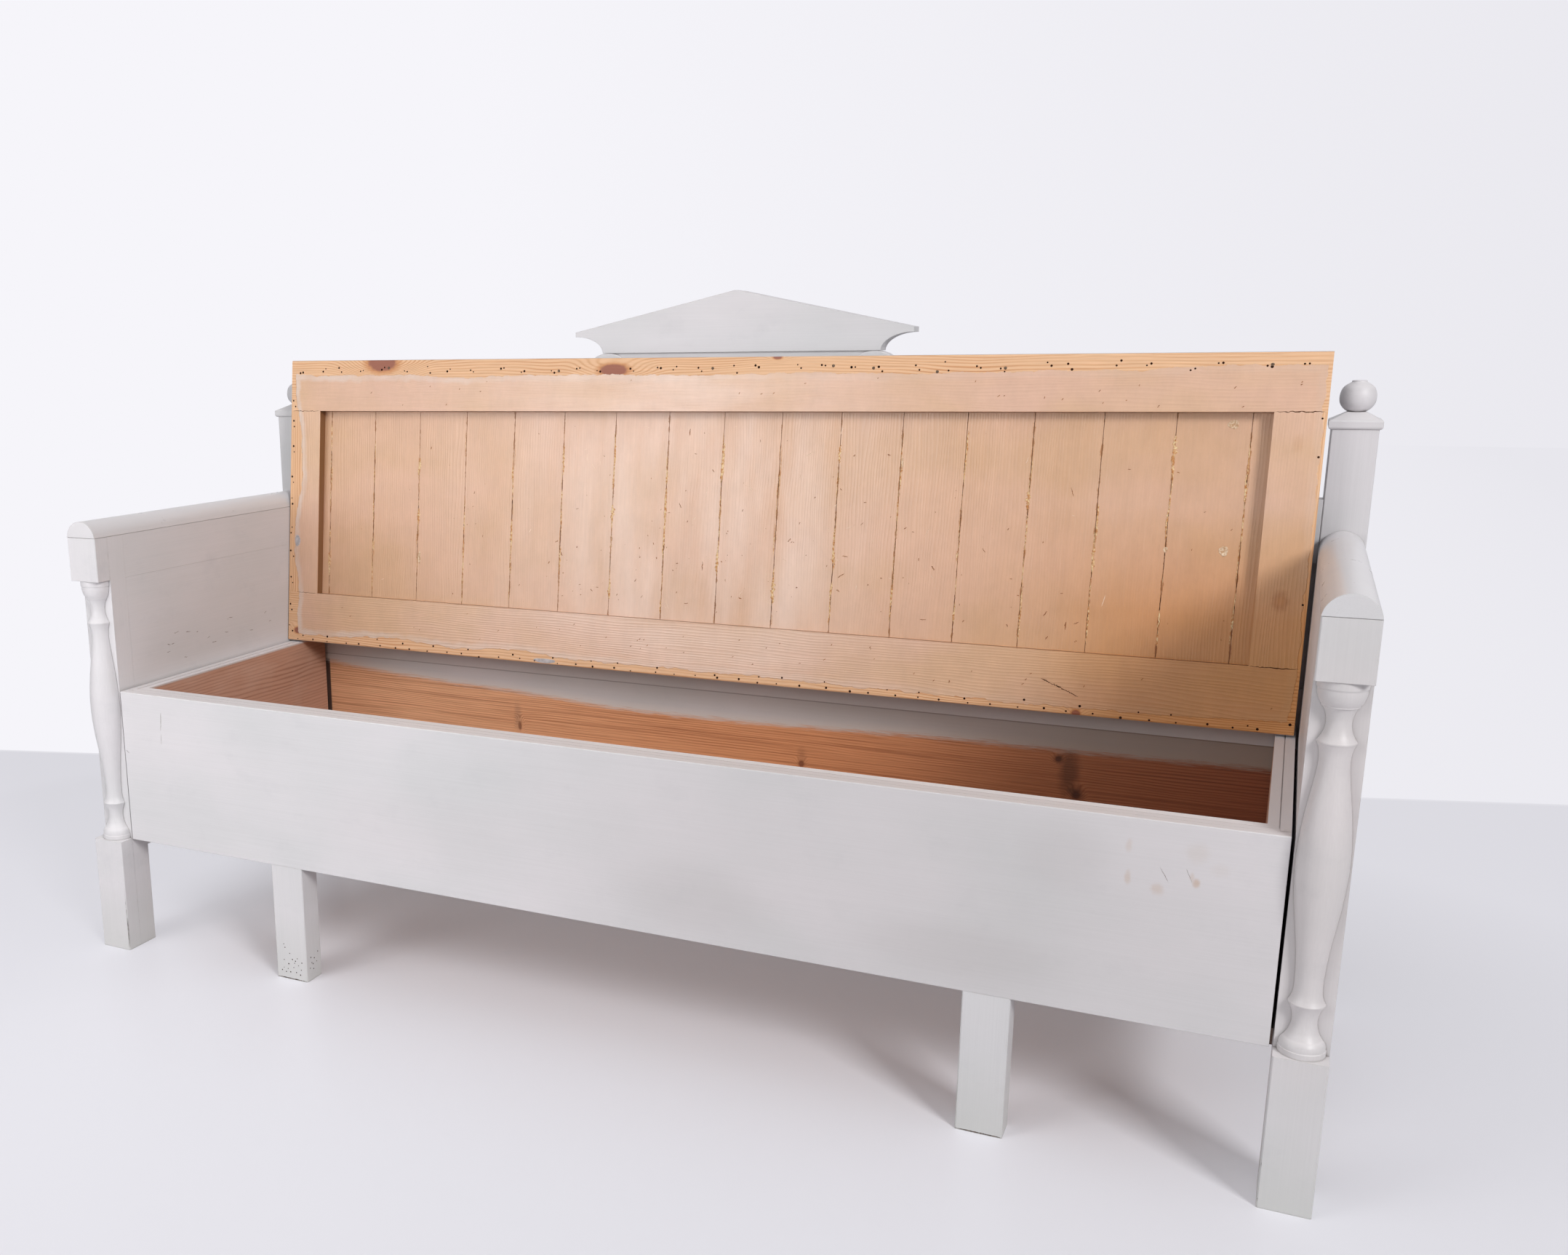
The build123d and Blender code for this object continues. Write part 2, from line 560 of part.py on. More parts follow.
# ---- Bed bottom: fixed slats and moving slats take turns along the bench ---------------------
def slat_middles(first):
    """X of every second slat, starting with slat number first."""
    return [-SLAT_HALF + (number + 0.5) * SLAT_PITCH for number in range(first, 2 * SLAT_PAIRS, 2)]


with BuildPart() as fixed_slats:
    timber((-SLAT_HALF, SLAT_HALF), (BACK - LEDGER_D, BACK), (FOOT_H, SLAT_Z))
    for middle in slat_middles(1):
        timber(
            (middle - SLAT_W / 2, middle + SLAT_W / 2),
            (STRETCHER_FRONT, BACK),
            (SLAT_Z, SLAT_Z + SLAT_T),
        )
keep(fixed_slats, "fixed_slats")

with BuildPart() as moving_slats:
    timber((-SLAT_HALF, SLAT_HALF), (BOX_INSIDE_Y, LEDGER_BACK), (FOOT_H, SLAT_Z + RUN_GAP))
    for middle in slat_middles(0):
        timber(
            (middle - SLAT_W / 2, middle + SLAT_W / 2),
            (BOX_INSIDE_Y, BOX_SIDE_END),
            (SLAT_Z + RUN_GAP, SLAT_Z + RUN_GAP + SLAT_T),
        )
keep(moving_slats, "moving_slats")

# ---- Pull-out box ---------------------------------------------------------------------------
SIDE_TONGUE_X = BOX_INNER + BOX_SIDE_T / 2
LEG_LAP_Z = (FOOT_H, FOOT_H + LEG_LAP_H)

with BuildPart() as box_front:
    timber((-BOX_HALF, BOX_HALF), (BOX_FACE, LINER_FACE), (FOOT_H, RIM_H))
    fillet(box_front.faces().sort_by(Axis.Z)[-1].edges().sort_by(Axis.Y)[0], ARRIS)
    for side in SIDES.values():
        groove_x = outward(side, SIDE_TONGUE_X - TONGUE_T / 2, SIDE_TONGUE_X + TONGUE_T / 2)
        timber(groove_x, (LINER_FACE - BOX_TONGUE, LINER_FACE), (FOOT_H, RIM_H), Mode.SUBTRACT)
keep(box_front, "box_front")

with BuildPart() as box_liner:
    timber((-BOX_INNER, BOX_INNER), (LINER_FACE, BOX_INSIDE_Y), (FOOT_H, RIM_H))
    for side in SIDES.values():
        lap_x = (side * LEG_X - LEG_W / 2, side * LEG_X + LEG_W / 2)
        timber(lap_x, (LINER_FACE, BOX_INSIDE_Y), LEG_LAP_Z, Mode.SUBTRACT)
keep(box_liner, "box_liner")

for side_name, side in SIDES.items():
    with BuildPart() as box_side:
        timber(outward(side, BOX_INNER, BOX_HALF), (LINER_FACE, BOX_SIDE_END), (FOOT_H, RIM_H))
        line_x = outward(side, SIDE_TONGUE_X - RIM_GROOVE_W / 2, SIDE_TONGUE_X + RIM_GROOVE_W / 2)
        timber(line_x, (LINER_FACE, BOX_SIDE_END), (RIM_H - RIM_GROOVE_D, RIM_H), Mode.SUBTRACT)
        tongue_x = outward(side, SIDE_TONGUE_X - TONGUE_T / 2, SIDE_TONGUE_X + TONGUE_T / 2)
        timber(tongue_x, (LINER_FACE - BOX_TONGUE, LINER_FACE), (FOOT_H, RIM_H))
    keep(box_side, f"box_side_{side_name}")

    with BuildPart() as box_leg:
        leg_x = (side * LEG_X - LEG_W / 2, side * LEG_X + LEG_W / 2)
        timber(leg_x, (BOX_FACE, BOX_INSIDE_Y), (0, FOOT_H))
        chamfer(box_leg.edges().filter_by(Axis.Z), ARRIS)
        timber(leg_x, (LINER_FACE, BOX_INSIDE_Y), LEG_LAP_Z)
    keep(box_leg, f"box_leg_{side_name}")

# ---- Lid, drawn in its own plane: X along, Y up the stood lid, Z through to the sitting side ---
LID_PLANE = Plane(
    origin=LID_FOOT,
    x_dir=(-1, 0, 0),
    z_dir=(0, LEAN_COS, -LEAN_SIN),
)
GROOVE_MIDDLE = LID_RECESS + (LID_T - LID_RECESS) / 2
GROOVE_Z = (GROOVE_MIDDLE - LID_GROOVE_T / 2, GROOVE_MIDDLE + LID_GROOVE_T / 2)
SEAM_Z = (GROOVE_MIDDLE - LID_BOARD_TONGUE_T / 2, GROOVE_MIDDLE + LID_BOARD_TONGUE_T / 2)
LID_TENON_Z = ((LID_T - LID_TENON_T) / 2, (LID_T + LID_TENON_T) / 2)
LID_TENON_SIDE = LID_STILE_W - TENON_SHOULDER
FIELD_LOW = LID_RAIL_W


def field_high(x):
    """Lower edge of the front rail at a place along the lid, from its middle to the right."""
    rail_w = (LID_FRONT_RAIL_LEFT + LID_FRONT_RAIL_RIGHT) / 2
    taper = (LID_FRONT_RAIL_LEFT - LID_FRONT_RAIL_RIGHT) / (2 * LID_HALF)
    return LID_W - rail_w + taper * x


def lid_timber(x_range, low, high, z_range, mode=Mode.ADD):
    """A length of timber in the lid's own plane, from x left to x right. low and high give its
    edges as functions of x."""
    left, right = x_range
    corners = [(-left, low(left)), (-right, low(right)), (-right, high(right)), (-left, high(left))]
    with BuildSketch(LID_PLANE.offset(z_range[0]), mode=Mode.PRIVATE) as section:
        with BuildLine():
            Polyline(*corners, close=True)
        make_face()
    extrude(section.sketch, amount=z_range[1] - z_range[0], mode=mode)


def level(height):
    """An edge that runs level, at one height up the lid."""
    return lambda x: height


def beside(edge, distance):
    """An edge that keeps a distance from another."""
    return lambda x: edge(x) + distance


def lid_rail(inner, outer, inward):
    """A full-length rail: its field edge is grooved for the boards and mortised for the stiles.
    inward is 1 where the field lies above the rail, and -1 where it lies below."""
    groove = sorted((inner, beside(inner, -inward * LID_GROOVE_L)), key=lambda edge: edge(0))
    mortise = sorted((inner, beside(inner, -inward * LID_TENON_L)), key=lambda edge: edge(0))
    whole = sorted((inner, outer), key=lambda edge: edge(0))
    with BuildPart() as rail:
        lid_timber((-LID_HALF, LID_HALF), *whole, (0, LID_T))
        long_edges = rail.edges().filter_by(Axis.X)
        up = LID_PLANE.y_dir
        fillet(long_edges.sort_by(lambda edge: inward * edge.center().dot(up))[:2], LID_EDGE_R)
        lid_timber((-LID_FIELD_HALF, LID_FIELD_HALF), *groove, GROOVE_Z, Mode.SUBTRACT)
        for near, far in ((-LID_HALF, -LID_FIELD_HALF), (LID_FIELD_HALF, LID_HALF)):
            ends = stile_tenon_x(near, far)
            lid_timber(ends, *mortise, LID_TENON_Z, Mode.SUBTRACT)
    return rail


def stile_tenon_x(left, right):
    """X range of a stile's tenon: a shoulder in from the outer end, and flush with the field."""
    if left < 0:
        return (left + TENON_SHOULDER, left + LID_TENON_SIDE)
    return (right - LID_TENON_SIDE, right - TENON_SHOULDER)


keep(lid_rail(level(LID_RAIL_W), level(0), 1), "lid_rail_rear")
keep(lid_rail(field_high, level(LID_W), -1), "lid_rail_front")

for side_name, stile_x in (("left", (-LID_HALF, -LID_FIELD_HALF)), ("right", (LID_FIELD_HALF, LID_HALF))):
    groove_x = (stile_x[1] - LID_GROOVE_L, stile_x[1])
    if side_name == "right":
        groove_x = (stile_x[0], stile_x[0] + LID_GROOVE_L)
    tenon_low = level(FIELD_LOW - LID_TENON_L)
    with BuildPart() as lid_stile:
        lid_timber(stile_x, level(FIELD_LOW), field_high, (0, LID_T))
        lid_timber(groove_x, level(FIELD_LOW), field_high, GROOVE_Z, Mode.SUBTRACT)
        lid_timber(stile_tenon_x(*stile_x), tenon_low, beside(field_high, LID_TENON_L), LID_TENON_Z)
    keep(lid_stile, f"lid_stile_{side_name}")


def lid_board(left, right, tongue_left=False):
    """One board of the lid: a tongue on its right edge, and on its left a groove or a second tongue."""
    face = (left + LID_SEAM / 2, right - LID_SEAM / 2)
    long_low, long_high = level(FIELD_LOW - LID_GROOVE_L), beside(field_high, LID_GROOVE_L)
    with BuildPart() as board:
        lid_timber(face, level(FIELD_LOW), field_high, (LID_RECESS, LID_T))
        lid_timber(face, long_low, long_high, GROOVE_Z)
        tongue = (face[1], face[1] + LID_SEAM + LID_BOARD_TONGUE_L)
        lid_timber(tongue, level(FIELD_LOW), field_high, SEAM_Z)
        if tongue_left:
            tongue = (face[0] - LID_SEAM - LID_BOARD_TONGUE_L, face[0])
            lid_timber(tongue, level(FIELD_LOW), field_high, SEAM_Z)
        else:
            groove = (left, face[0] + LID_BOARD_TONGUE_L)
            lid_timber(groove, level(FIELD_LOW), field_high, SEAM_Z, Mode.SUBTRACT)
    return board


FIRST_SEAM = -LID_FIELD_HALF + LID_STRIP_LEFT
keep(lid_board(-LID_FIELD_HALF, FIRST_SEAM, tongue_left=True), "lid_strip_left")
for number in range(LID_BOARDS):
    left_edge = FIRST_SEAM + number * LID_BOARD_W
    keep(lid_board(left_edge, left_edge + LID_BOARD_W), f"lid_board_{number + 1:02d}")
keep(lid_board(LID_FIELD_HALF - LID_STRIP_RIGHT, LID_FIELD_HALF), "lid_strip_right")

print("lean of the stood lid, degrees:", round(LEAN, 3))
print("lid hinge line, mm:", [round(value, 3) for value in LID_FOOT])
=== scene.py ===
"""Looks of the Swedish pull-out bench bed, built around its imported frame.

Metres, +Z up, X along the bench, -Y towards the sitter. The lid stands open and leans on the
crest. Every pattern is worked out from sizes in millimetres.
"""

from math import cos, pi, radians, sin

import bpy
import numpy as np
from mathutils import Matrix, Vector


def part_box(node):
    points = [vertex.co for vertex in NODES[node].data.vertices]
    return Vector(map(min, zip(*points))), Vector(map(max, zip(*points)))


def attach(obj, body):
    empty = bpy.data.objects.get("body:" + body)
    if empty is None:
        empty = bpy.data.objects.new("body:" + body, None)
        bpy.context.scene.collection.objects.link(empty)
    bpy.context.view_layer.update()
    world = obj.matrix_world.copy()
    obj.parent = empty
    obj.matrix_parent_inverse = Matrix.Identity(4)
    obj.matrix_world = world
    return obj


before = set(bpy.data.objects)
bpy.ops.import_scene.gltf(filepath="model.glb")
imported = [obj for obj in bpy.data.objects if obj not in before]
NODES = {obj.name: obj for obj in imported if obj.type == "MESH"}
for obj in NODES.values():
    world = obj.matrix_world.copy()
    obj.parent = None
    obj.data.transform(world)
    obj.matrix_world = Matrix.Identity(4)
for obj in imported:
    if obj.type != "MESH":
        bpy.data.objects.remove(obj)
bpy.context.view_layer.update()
MM = 0.001
RANDOM = np.random.default_rng(1896)

# ---- Sizes repeated from the frame, in millimetres --------------------------------------------
RIM_H = 460.0
BOX_INNER_X = 860.0                # inner faces of the box sides
BOX_INNER_Y = -256.5               # inner face of the box front's lining
BOX_FRONT_Y = -297.5               # front face of the box front and of the box legs
FOOT_FRONT_Y = -322.5              # front face of the end frames' feet
END_INNER_X = -890.0               # inner face of the left end and of its foot
BACK_FACE = 254.5                  # front face of the back boards
BACK_REACH = 860.0
LID_LEAN = radians(6.607)
LID_FOOT = (-2.5, 167.5, 463.426)  # underside corner that the stood lid rests on
LID_HALF = 886.0
LID_W = 538.0
LID_T = 30.0
LID_RECESS = 19.0
LID_STILE_W = 67.0
LID_STRIP_LEFT = 15.0
LID_STRIP_RIGHT = 26.5
LID_BOARDS = 16
LID_FIELD_HALF = LID_HALF - LID_STILE_W
LID_FIRST_SEAM = -LID_FIELD_HALF + LID_STRIP_LEFT
LID_BOARD_W = (2 * LID_FIELD_HALF - LID_STRIP_LEFT - LID_STRIP_RIGHT) / LID_BOARDS
LID_FIELD_LOW = 95.0
LID_FIELD_HIGH_LEFT = 443.0
LID_FIELD_HIGH_RIGHT = 455.0


# ---- Small tools ------------------------------------------------------------------------------
def linear(code):
    """An sRGB hex colour as linear light: c / 12.92 up to 0.04045, else ((c + 0.055) / 1.055) ^ 2.4."""
    parts = np.array([int(code[i : i + 2], 16) for i in (1, 3, 5)]) / 255
    curve = np.where(parts <= 0.04045, parts / 12.92, ((parts + 0.055) / 1.055) ** 2.4)
    return (*curve.tolist(), 1.0)


def node(tree, kind, inputs=(), **settings):
    """Adds a shader node. settings are its own properties; inputs maps a socket's name or number
    to a value, or to the socket that feeds it."""
    made = tree.nodes.new("ShaderNode" + kind)
    for key, value in settings.items():
        setattr(made, key, value)
    for key, value in dict(inputs).items():
        if isinstance(value, bpy.types.NodeSocket):
            tree.links.new(value, made.inputs[key])
        else:
            made.inputs[key].default_value = value
    return made


def start(name):
    """An empty material and its node tree."""
    made = bpy.data.materials.new(name)
    made.use_nodes = True
    made.node_tree.nodes.clear()
    return made, made.node_tree


def shade(tree, colour, roughness, height, depth, rounded=None, others=()):
    """The principled shader joined to the output, with a bump of a depth in millimetres. rounded
    is a normal with softened arrises, and others holds values of more of the shader's sockets."""
    relief = {"Height": height, "Distance": depth * MM}
    if rounded:
        relief["Normal"] = rounded
    bump = node(tree, "Bump", relief)
    look = {"Base Color": colour, "Roughness": roughness, "Normal": bump.outputs[0], **dict(others)}
    shader = node(tree, "BsdfPrincipled", look)
    node(tree, "OutputMaterial", {"Surface": shader.outputs[0]})


def laid(tree, size=(1, 1, 1), turn=0.0, corner=(0, 0, 0)):
    """Object coordinates in millimetres from a corner, turned about X, then divided by size."""
    seen = node(tree, "TexCoord")
    where = {"Location": Vector(corner) * MM, "Rotation": (turn, 0, 0), "Scale": Vector(size) * MM}
    made = node(tree, "Mapping", {"Vector": seen.outputs["Object"], **where}, vector_type="TEXTURE")
    return made.outputs[0]


def lid_laid(tree, size=(1, 1, 1)):
    """The same in the lid's own plane: X along, Y from its underside to its seat side, Z up it."""
    return laid(tree, size, -LID_LEAN, LID_FOOT)


def drawn_out(axis, length, width):
    """Lump sizes of a pattern drawn out along one axis."""
    return tuple(length if axis == letter else width for letter in "xyz")


def swung(tree, place, axis):
    """The same millimetres for grain along another axis: X changes places with that one."""
    apart = node(tree, "SeparateXYZ", {0: place}).outputs
    order = {"x": (0, 1, 2), "y": (1, 0, 2), "z": (2, 1, 0)}[axis]
    joined = node(tree, "CombineXYZ", {step: apart[source] for step, source in enumerate(order)})
    return joined.outputs[0]


def patches(tree, place, between, shown=(0.0, 1.0), detail=3.0, roughness=0.5):
    """A noise, and the patches in it: where the noise rises from one value of between to the
    other, the patches go from one value of shown to the other, and past those they hold it."""
    lumps = {"Vector": place, "Scale": 1.0, "Detail": detail, "Roughness": roughness}
    noise = node(tree, "TexNoise", lumps).outputs[0]
    rise = {"From Min": between[0], "From Max": between[1], "To Min": shown[0], "To Max": shown[1]}
    return noise, node(tree, "MapRange", {"Value": noise, **rise}).outputs[0]


def coated(tree, colour, *coats):
    """The colour under flat coats that cover it in turn. Each is a mask, a tone and, where it
    tints what is below instead of hiding it, its way to blend."""
    for where, tone, *way in coats:
        coat = {"Factor": where, 6: colour, 7: linear(tone)}
        blend = way[0] if way else "MIX"
        colour = node(tree, "Mix", coat, data_type="RGBA", blend_type=blend).outputs[2]
    return colour


def far_from(tree, place, x, z, half_x, half_z):
    """Distance over the face from (x, z), with its two parts divided by their half sizes."""
    off = node(tree, "VectorMath", {0: place, 1: (x, 0, z)}, operation="SUBTRACT")
    shares = {0: off.outputs[0], 1: (1 / half_x, 0, 1 / half_z)}
    ratio = node(tree, "VectorMath", shares, operation="MULTIPLY")
    return node(tree, "VectorMath", {0: ratio.outputs[0]}, operation="LENGTH").outputs["Value"]


def smudged(tree, place, colour, marks):
    """The colour with soft smudges, each (x, z, half width, half height, strength, tone). Noise
    with lumps of 8 mm breaks the edge of a small one more than that of a large one."""
    if not marks:
        return colour
    lumps = {"Vector": place, "Scale": 0.12, "Detail": 4.0, "Roughness": 0.6}
    broken = node(tree, "TexNoise", lumps).outputs[0]
    for x, z, half_x, half_z, strength, tone in marks:
        far = far_from(tree, place, x, z, half_x, half_z)
        rough = min(1.2, 10 / half_x)
        uneven = node(tree, "Math", {0: broken, 1: rough, 2: far}, operation="MULTIPLY_ADD")
        whole = 0.3 + rough / 2
        fade = {"From Min": whole, "From Max": whole + 1.0, "To Min": strength, "To Max": 0.0}
        soft = node(tree, "MapRange", {"Value": uneven.outputs[0], **fade}, interpolation_type="SMOOTHSTEP")
        colour = coated(tree, colour, (soft.outputs[0], tone))
    return colour


def hand_drawn(tree, along, span, stations):
    """A line over a span: its height at evenly spaced stations, joined by a smooth curve."""
    low, high = min(stations), max(stations)
    at = node(tree, "MapRange", {"Value": along, "From Min": span[0], "From Max": span[1]})
    curve = node(tree, "FloatCurve", {"Value": at.outputs[0]})
    points = curve.mapping.curves[0].points
    for _ in stations[2:]:
        points.new(0.5, 0.5)
    for step, height in enumerate(stations):
        points[step].location = (step / (len(stations) - 1), (height - low) / (high - low))
    curve.mapping.update()
    drawn = node(tree, "Math", {0: curve.outputs[0], 1: high - low, 2: low}, operation="MULTIPLY_ADD")
    return drawn.outputs[0]


def two_coats(tree, where, below, above):
    """Colour, roughness and height of one coat, giving way to those of another where a mask says."""
    kinds = (("RGBA", 6, 7, 2), ("FLOAT", 2, 3, 0), ("FLOAT", 2, 3, 0))
    mixed = []
    for lower, upper, (kind, first, second, out) in zip(below, above, kinds):
        both = node(tree, "Mix", {"Factor": where, first: lower, second: upper}, data_type=kind)
        mixed.append(both.outputs[out])
    return mixed


# ---- Grey paint -------------------------------------------------------------------------------
GREY_LIGHT, GREY_SHADE, GREY_WORN, GREY_DUST_AND_TOP_LIGHT = "#D0CCCE", "#C6C5C6", "#B2B1B5", "#E9E5E7"
JOINT_DIRT_AND_SHADE, NEAR_FLOOR_TONE, THIN_ARRIS = "#6F6863", "#B4B6AF", "#9B8D80"


def grey_layer(tree, axis, wear, place=laid, gloss=(0.38, 0.52), dust=0.8):
    """Colour, roughness and height sockets of brushed grey paint: drift in tone, rubbed patches,
    brush lines along the timber, and faces that look up made paler, partly by dust and partly by
    painted light from above. gloss is its lowest and highest roughness, and dust is how much
    paler the tops grow."""
    drift = patches(tree, place(tree, (330, 330, 210)), (0.34, 0.66))[1]
    rub, rubbed = patches(tree, place(tree, (70, 70, 46)), (0.56, 0.78), (0.0, wear), 7.0, 0.66)
    brush, lines = patches(tree, place(tree, drawn_out(axis, 150, 1.5)), (0.3, 0.7), (0.975, 1.015))
    colour = coated(tree, linear(GREY_LIGHT), (drift, GREY_SHADE), (rubbed, GREY_WORN))
    brushed = node(tree, "VectorMath", {0: colour, "Scale": lines}, operation="SCALE")
    facing = node(tree, "SeparateXYZ", {0: node(tree, "TexCoord").outputs["Normal"]})
    # Up-facing faces turn paler: partly dust, partly painted light from above.
    upward = {"Value": facing.outputs[2], "From Min": 0.35, "From Max": 0.95, "To Max": dust}
    dust_and_top_light = node(tree, "MapRange", upward)
    colour = coated(tree, brushed.outputs[0], (dust_and_top_light.outputs[0], GREY_DUST_AND_TOP_LIGHT))
    dulled = {"From Min": 0.3, "From Max": 0.75, "To Min": gloss[0], "To Max": gloss[1]}
    sheen = node(tree, "MapRange", {"Value": rub, **dulled})
    height = node(tree, "Math", {0: brush, 1: 0.5, 2: rub}, operation="MULTIPLY_ADD")
    return colour, sheen.outputs[0], height.outputs[0]


def arris_wear(tree):
    """How worn an edge is: where the normal of an edge rounded by 2.2 mm leaves the real one,
    broken by noise with lumps of 16 mm."""
    rounded = node(tree, "Bevel", {"Radius": 2.2 * MM}, samples=4).outputs[0]
    real = node(tree, "NewGeometry").outputs["Normal"]
    even = node(tree, "VectorMath", {0: rounded, 1: real}, operation="DOT_PRODUCT")
    arris = node(tree, "MapRange", {"Value": even.outputs["Value"], "From Min": 0.995, "From Max": 0.86})
    chipped = patches(tree, laid(tree, (16, 16, 16)), (0.52, 0.7), (0.0, 1.0), 6.0, 0.7)[1]
    return node(tree, "Math", {0: arris.outputs[0], 1: chipped}, operation="MULTIPLY").outputs[0]


def grey_paint(name, axis, wear=0.25, arris=0.0, gloss=(0.38, 0.52), marks=(), crevice_dirt_and_shade=0.6):
    """Old satin linseed oil paint on pine, brushed along the timber. It gives the eye a pale
    pinkish grey that drifts a little in tone, faint brush lines, a soft sheen, dirt and painted
    shade in the joints and rings where ambient occlusion is deep, a darker, greener tone near the
    floor, and on the open timbers thin paint on the arrises. wear, arris and crevice are how
    strongly rubbed patches, arrises and the dark in joints show, gloss is as in the layer, and
    marks are smudges."""
    made, tree = start(name)
    colour, gloss, height = grey_layer(tree, axis, wear, laid, gloss)
    place = laid(tree)
    colour = smudged(tree, place, colour, marks)
    # Ambient occlusion darkens joints, rings and creases: dirt, and painted shade where little light
    # reaches.
    shut = node(tree, "AmbientOcclusion", {"Distance": 5.0 * MM}, samples=4)
    low = node(tree, "SeparateXYZ", {0: place})
    coats = []
    for value, clean, dirty, most, tone in (
        (shut.outputs["AO"], 0.62, 0.2, crevice_dirt_and_shade, JOINT_DIRT_AND_SHADE),
        # Darker and greener towards the floor.
        (low.outputs[2], 120.0, 0.0, 0.4, NEAR_FLOOR_TONE),
    ):
        dirt = {"Value": value, "From Min": clean, "From Max": dirty, "To Max": most}
        coats.append((node(tree, "MapRange", dirt).outputs[0], tone))
    if arris:
        thin = node(tree, "Math", {0: arris_wear(tree), 1: arris}, operation="MULTIPLY")
        coats.append((thin.outputs[0], THIN_ARRIS))
    soft = node(tree, "Bevel", {"Radius": 1.2 * MM}, samples=4)
    shade(tree, coated(tree, colour, *coats), gloss, height, 0.1, soft.outputs[0])
    return made


# ---- Pine -------------------------------------------------------------------------------------
PINE_LUMPS = (   # lumps of four noises along, into and across the grain, and their detail
    ((520, 70, 80), 3.0),      # slow bends of the rings
    ((9, 9, 9), 2.0),          # ragged outlines of knots
    ((60, 0.8, 0.8), 3.0),     # fibres
    ((260, 60, 40), 4.0),      # patches with stronger and weaker rings
)


def pine_layer(tree, place, ring, early, late, knots=(), knot_tone="#8E5546", flame=46.0, contrast=0.85):
    """Colour and ring sockets of flat-sawn pine. place holds millimetres, X along the grain and
    Z across the face.

    The rings are a sine of the distance across the grain, which slow noise bends into flames
    that many millimetres deep. Each knot (x, z, half length, half height) adds a hump to that
    distance, so that the rings part around it, a disc of its own colour and a darker halo."""
    noises = []
    for lumps, detail in PINE_LUMPS:
        drawn = node(tree, "VectorMath", {0: place, 1: [1 / lump for lump in lumps]}, operation="MULTIPLY")
        noises.append(node(tree, "TexNoise", {"Vector": drawn.outputs[0], "Scale": 1.0, "Detail": detail}))
    bend, ragged, fibre, patch = (noise.outputs[0] for noise in noises)
    apart = node(tree, "SeparateXYZ", {0: place})
    away = node(tree, "Math", {0: bend, 1: flame, 2: apart.outputs[2]}, operation="MULTIPLY_ADD").outputs[0]
    nearest = None
    for x, z, half_x, half_z in knots:
        far = far_from(tree, place, x, z, half_x, half_z)
        bulge = {"From Min": 0.0, "From Max": 4.5, "To Min": 2.2 * half_z, "To Max": 0.0}
        hump = node(tree, "MapRange", {"Value": far, **bulge}, interpolation_type="SMOOTHERSTEP")
        away = node(tree, "Math", {0: away, 1: hump.outputs[0]}, operation="ADD").outputs[0]
        rough = node(tree, "Math", {0: ragged, 1: 0.35, 2: far}, operation="MULTIPLY_ADD").outputs[0]
        if nearest:
            rough = node(tree, "Math", {0: nearest, 1: rough}, operation="MINIMUM").outputs[0]
        nearest = rough
    wave = node(tree, "Math", {0: away, 1: 2 * pi / ring}, operation="MULTIPLY")
    wave = node(tree, "Math", {0: wave.outputs[0]}, operation="SINE")
    wave = node(tree, "Math", {0: wave.outputs[0], 1: 0.5, 2: 0.5}, operation="MULTIPLY_ADD")
    hard = node(tree, "Math", {0: wave.outputs[0], 1: 2.4}, operation="POWER").outputs[0]
    strength = {"From Min": 0.3, "From Max": 0.7, "To Min": 0.1, "To Max": contrast}
    clear = node(tree, "MapRange", {"Value": patch, **strength})
    banded = node(tree, "Math", {0: hard, 1: clear.outputs[0]}, operation="MULTIPLY")
    colour = coated(tree, linear(early), (banded.outputs[0], late))
    lightness = {"From Min": 0.3, "From Max": 0.7, "To Min": 0.88, "To Max": 1.08}
    grainy = node(tree, "MapRange", {"Value": fibre, **lightness})
    colour = node(tree, "VectorMath", {0: colour, "Scale": grainy.outputs[0]}, operation="SCALE").outputs[0]
    if knots:
        for outer, inner, tone, strength in ((1.75, 1.3, late, 0.75), (1.3, 1.05, knot_tone, 0.9)):
            edge = {"From Min": outer, "From Max": inner, "To Max": strength}
            disc = node(tree, "MapRange", {"Value": nearest, **edge})
            colour = coated(tree, colour, (disc.outputs[0], tone))
    return colour, hard


def bare_pine(name, axis, early="#B07B52", late="#835534"):
    """Unpainted pine, darkened by a century of air. It gives the eye brown bands of late wood
    along each length and a dry, dull surface."""
    made, tree = start(name)
    colour, rings = pine_layer(tree, swung(tree, laid(tree), axis), 4.2, early, late)
    shade(tree, colour, 0.72, rings, 0.15)
    return made


# ---- Back boards: grey above, bare below ------------------------------------------------------
WALL_KNOTS = ((-420, 318, 3, 7), (134, 309, 4, 5), (556, 368, 4, 4), (587, 312, 5, 6), (-700, 250, 12, 10))
WALL_SMEARS = (
    (-424, 332, 9, 30, 0.4, "#8C6A55"),
    (134, 318, 9, 22, 0.35, "#7A4A30"),
    (556, 368, 9, 9, 0.6, "#3E2418"),
    (574, 348, 17, 46, 0.6, "#3A2015"),
    (587, 314, 13, 13, 0.6, "#331B12"),
)
WALL_SPAN = (-BACK_REACH, BACK_REACH)
WALL_PAINT_EDGE = (408, 390, 381, 371, 374, 382, 383, 386)   # height of the paint, left to right
WALL_PAINTED_SHADE = (0.0, 0.0, 0.05, 0.15, 0.24, 0.42, 0.63, 0.82)   # how much painted shade darkens the bare wood, left to right
WALL_ORANGE = (0.0, 0.1, 0.4, 0.75, 0.95, 1.0, 1.0, 1.0)     # how orange
WALL_JOINT = (420.8, 421.6)        # heights between which dirt lies in the joint of the boards
CORNER_SHADOW_STRIP = (-854.0, -856.0)    # where the painted shadow in the left corner begins and is full
WALL_SKIN = 5.0                    # how deep the paint and the painted corner shadow reach into the boards
BRISTLE_DRAG = 26.0                # how far bristles drag the paint past its edge and back
DRAG_COVERS = (8.0, 18.0)          # dragged height over which the paint comes to cover


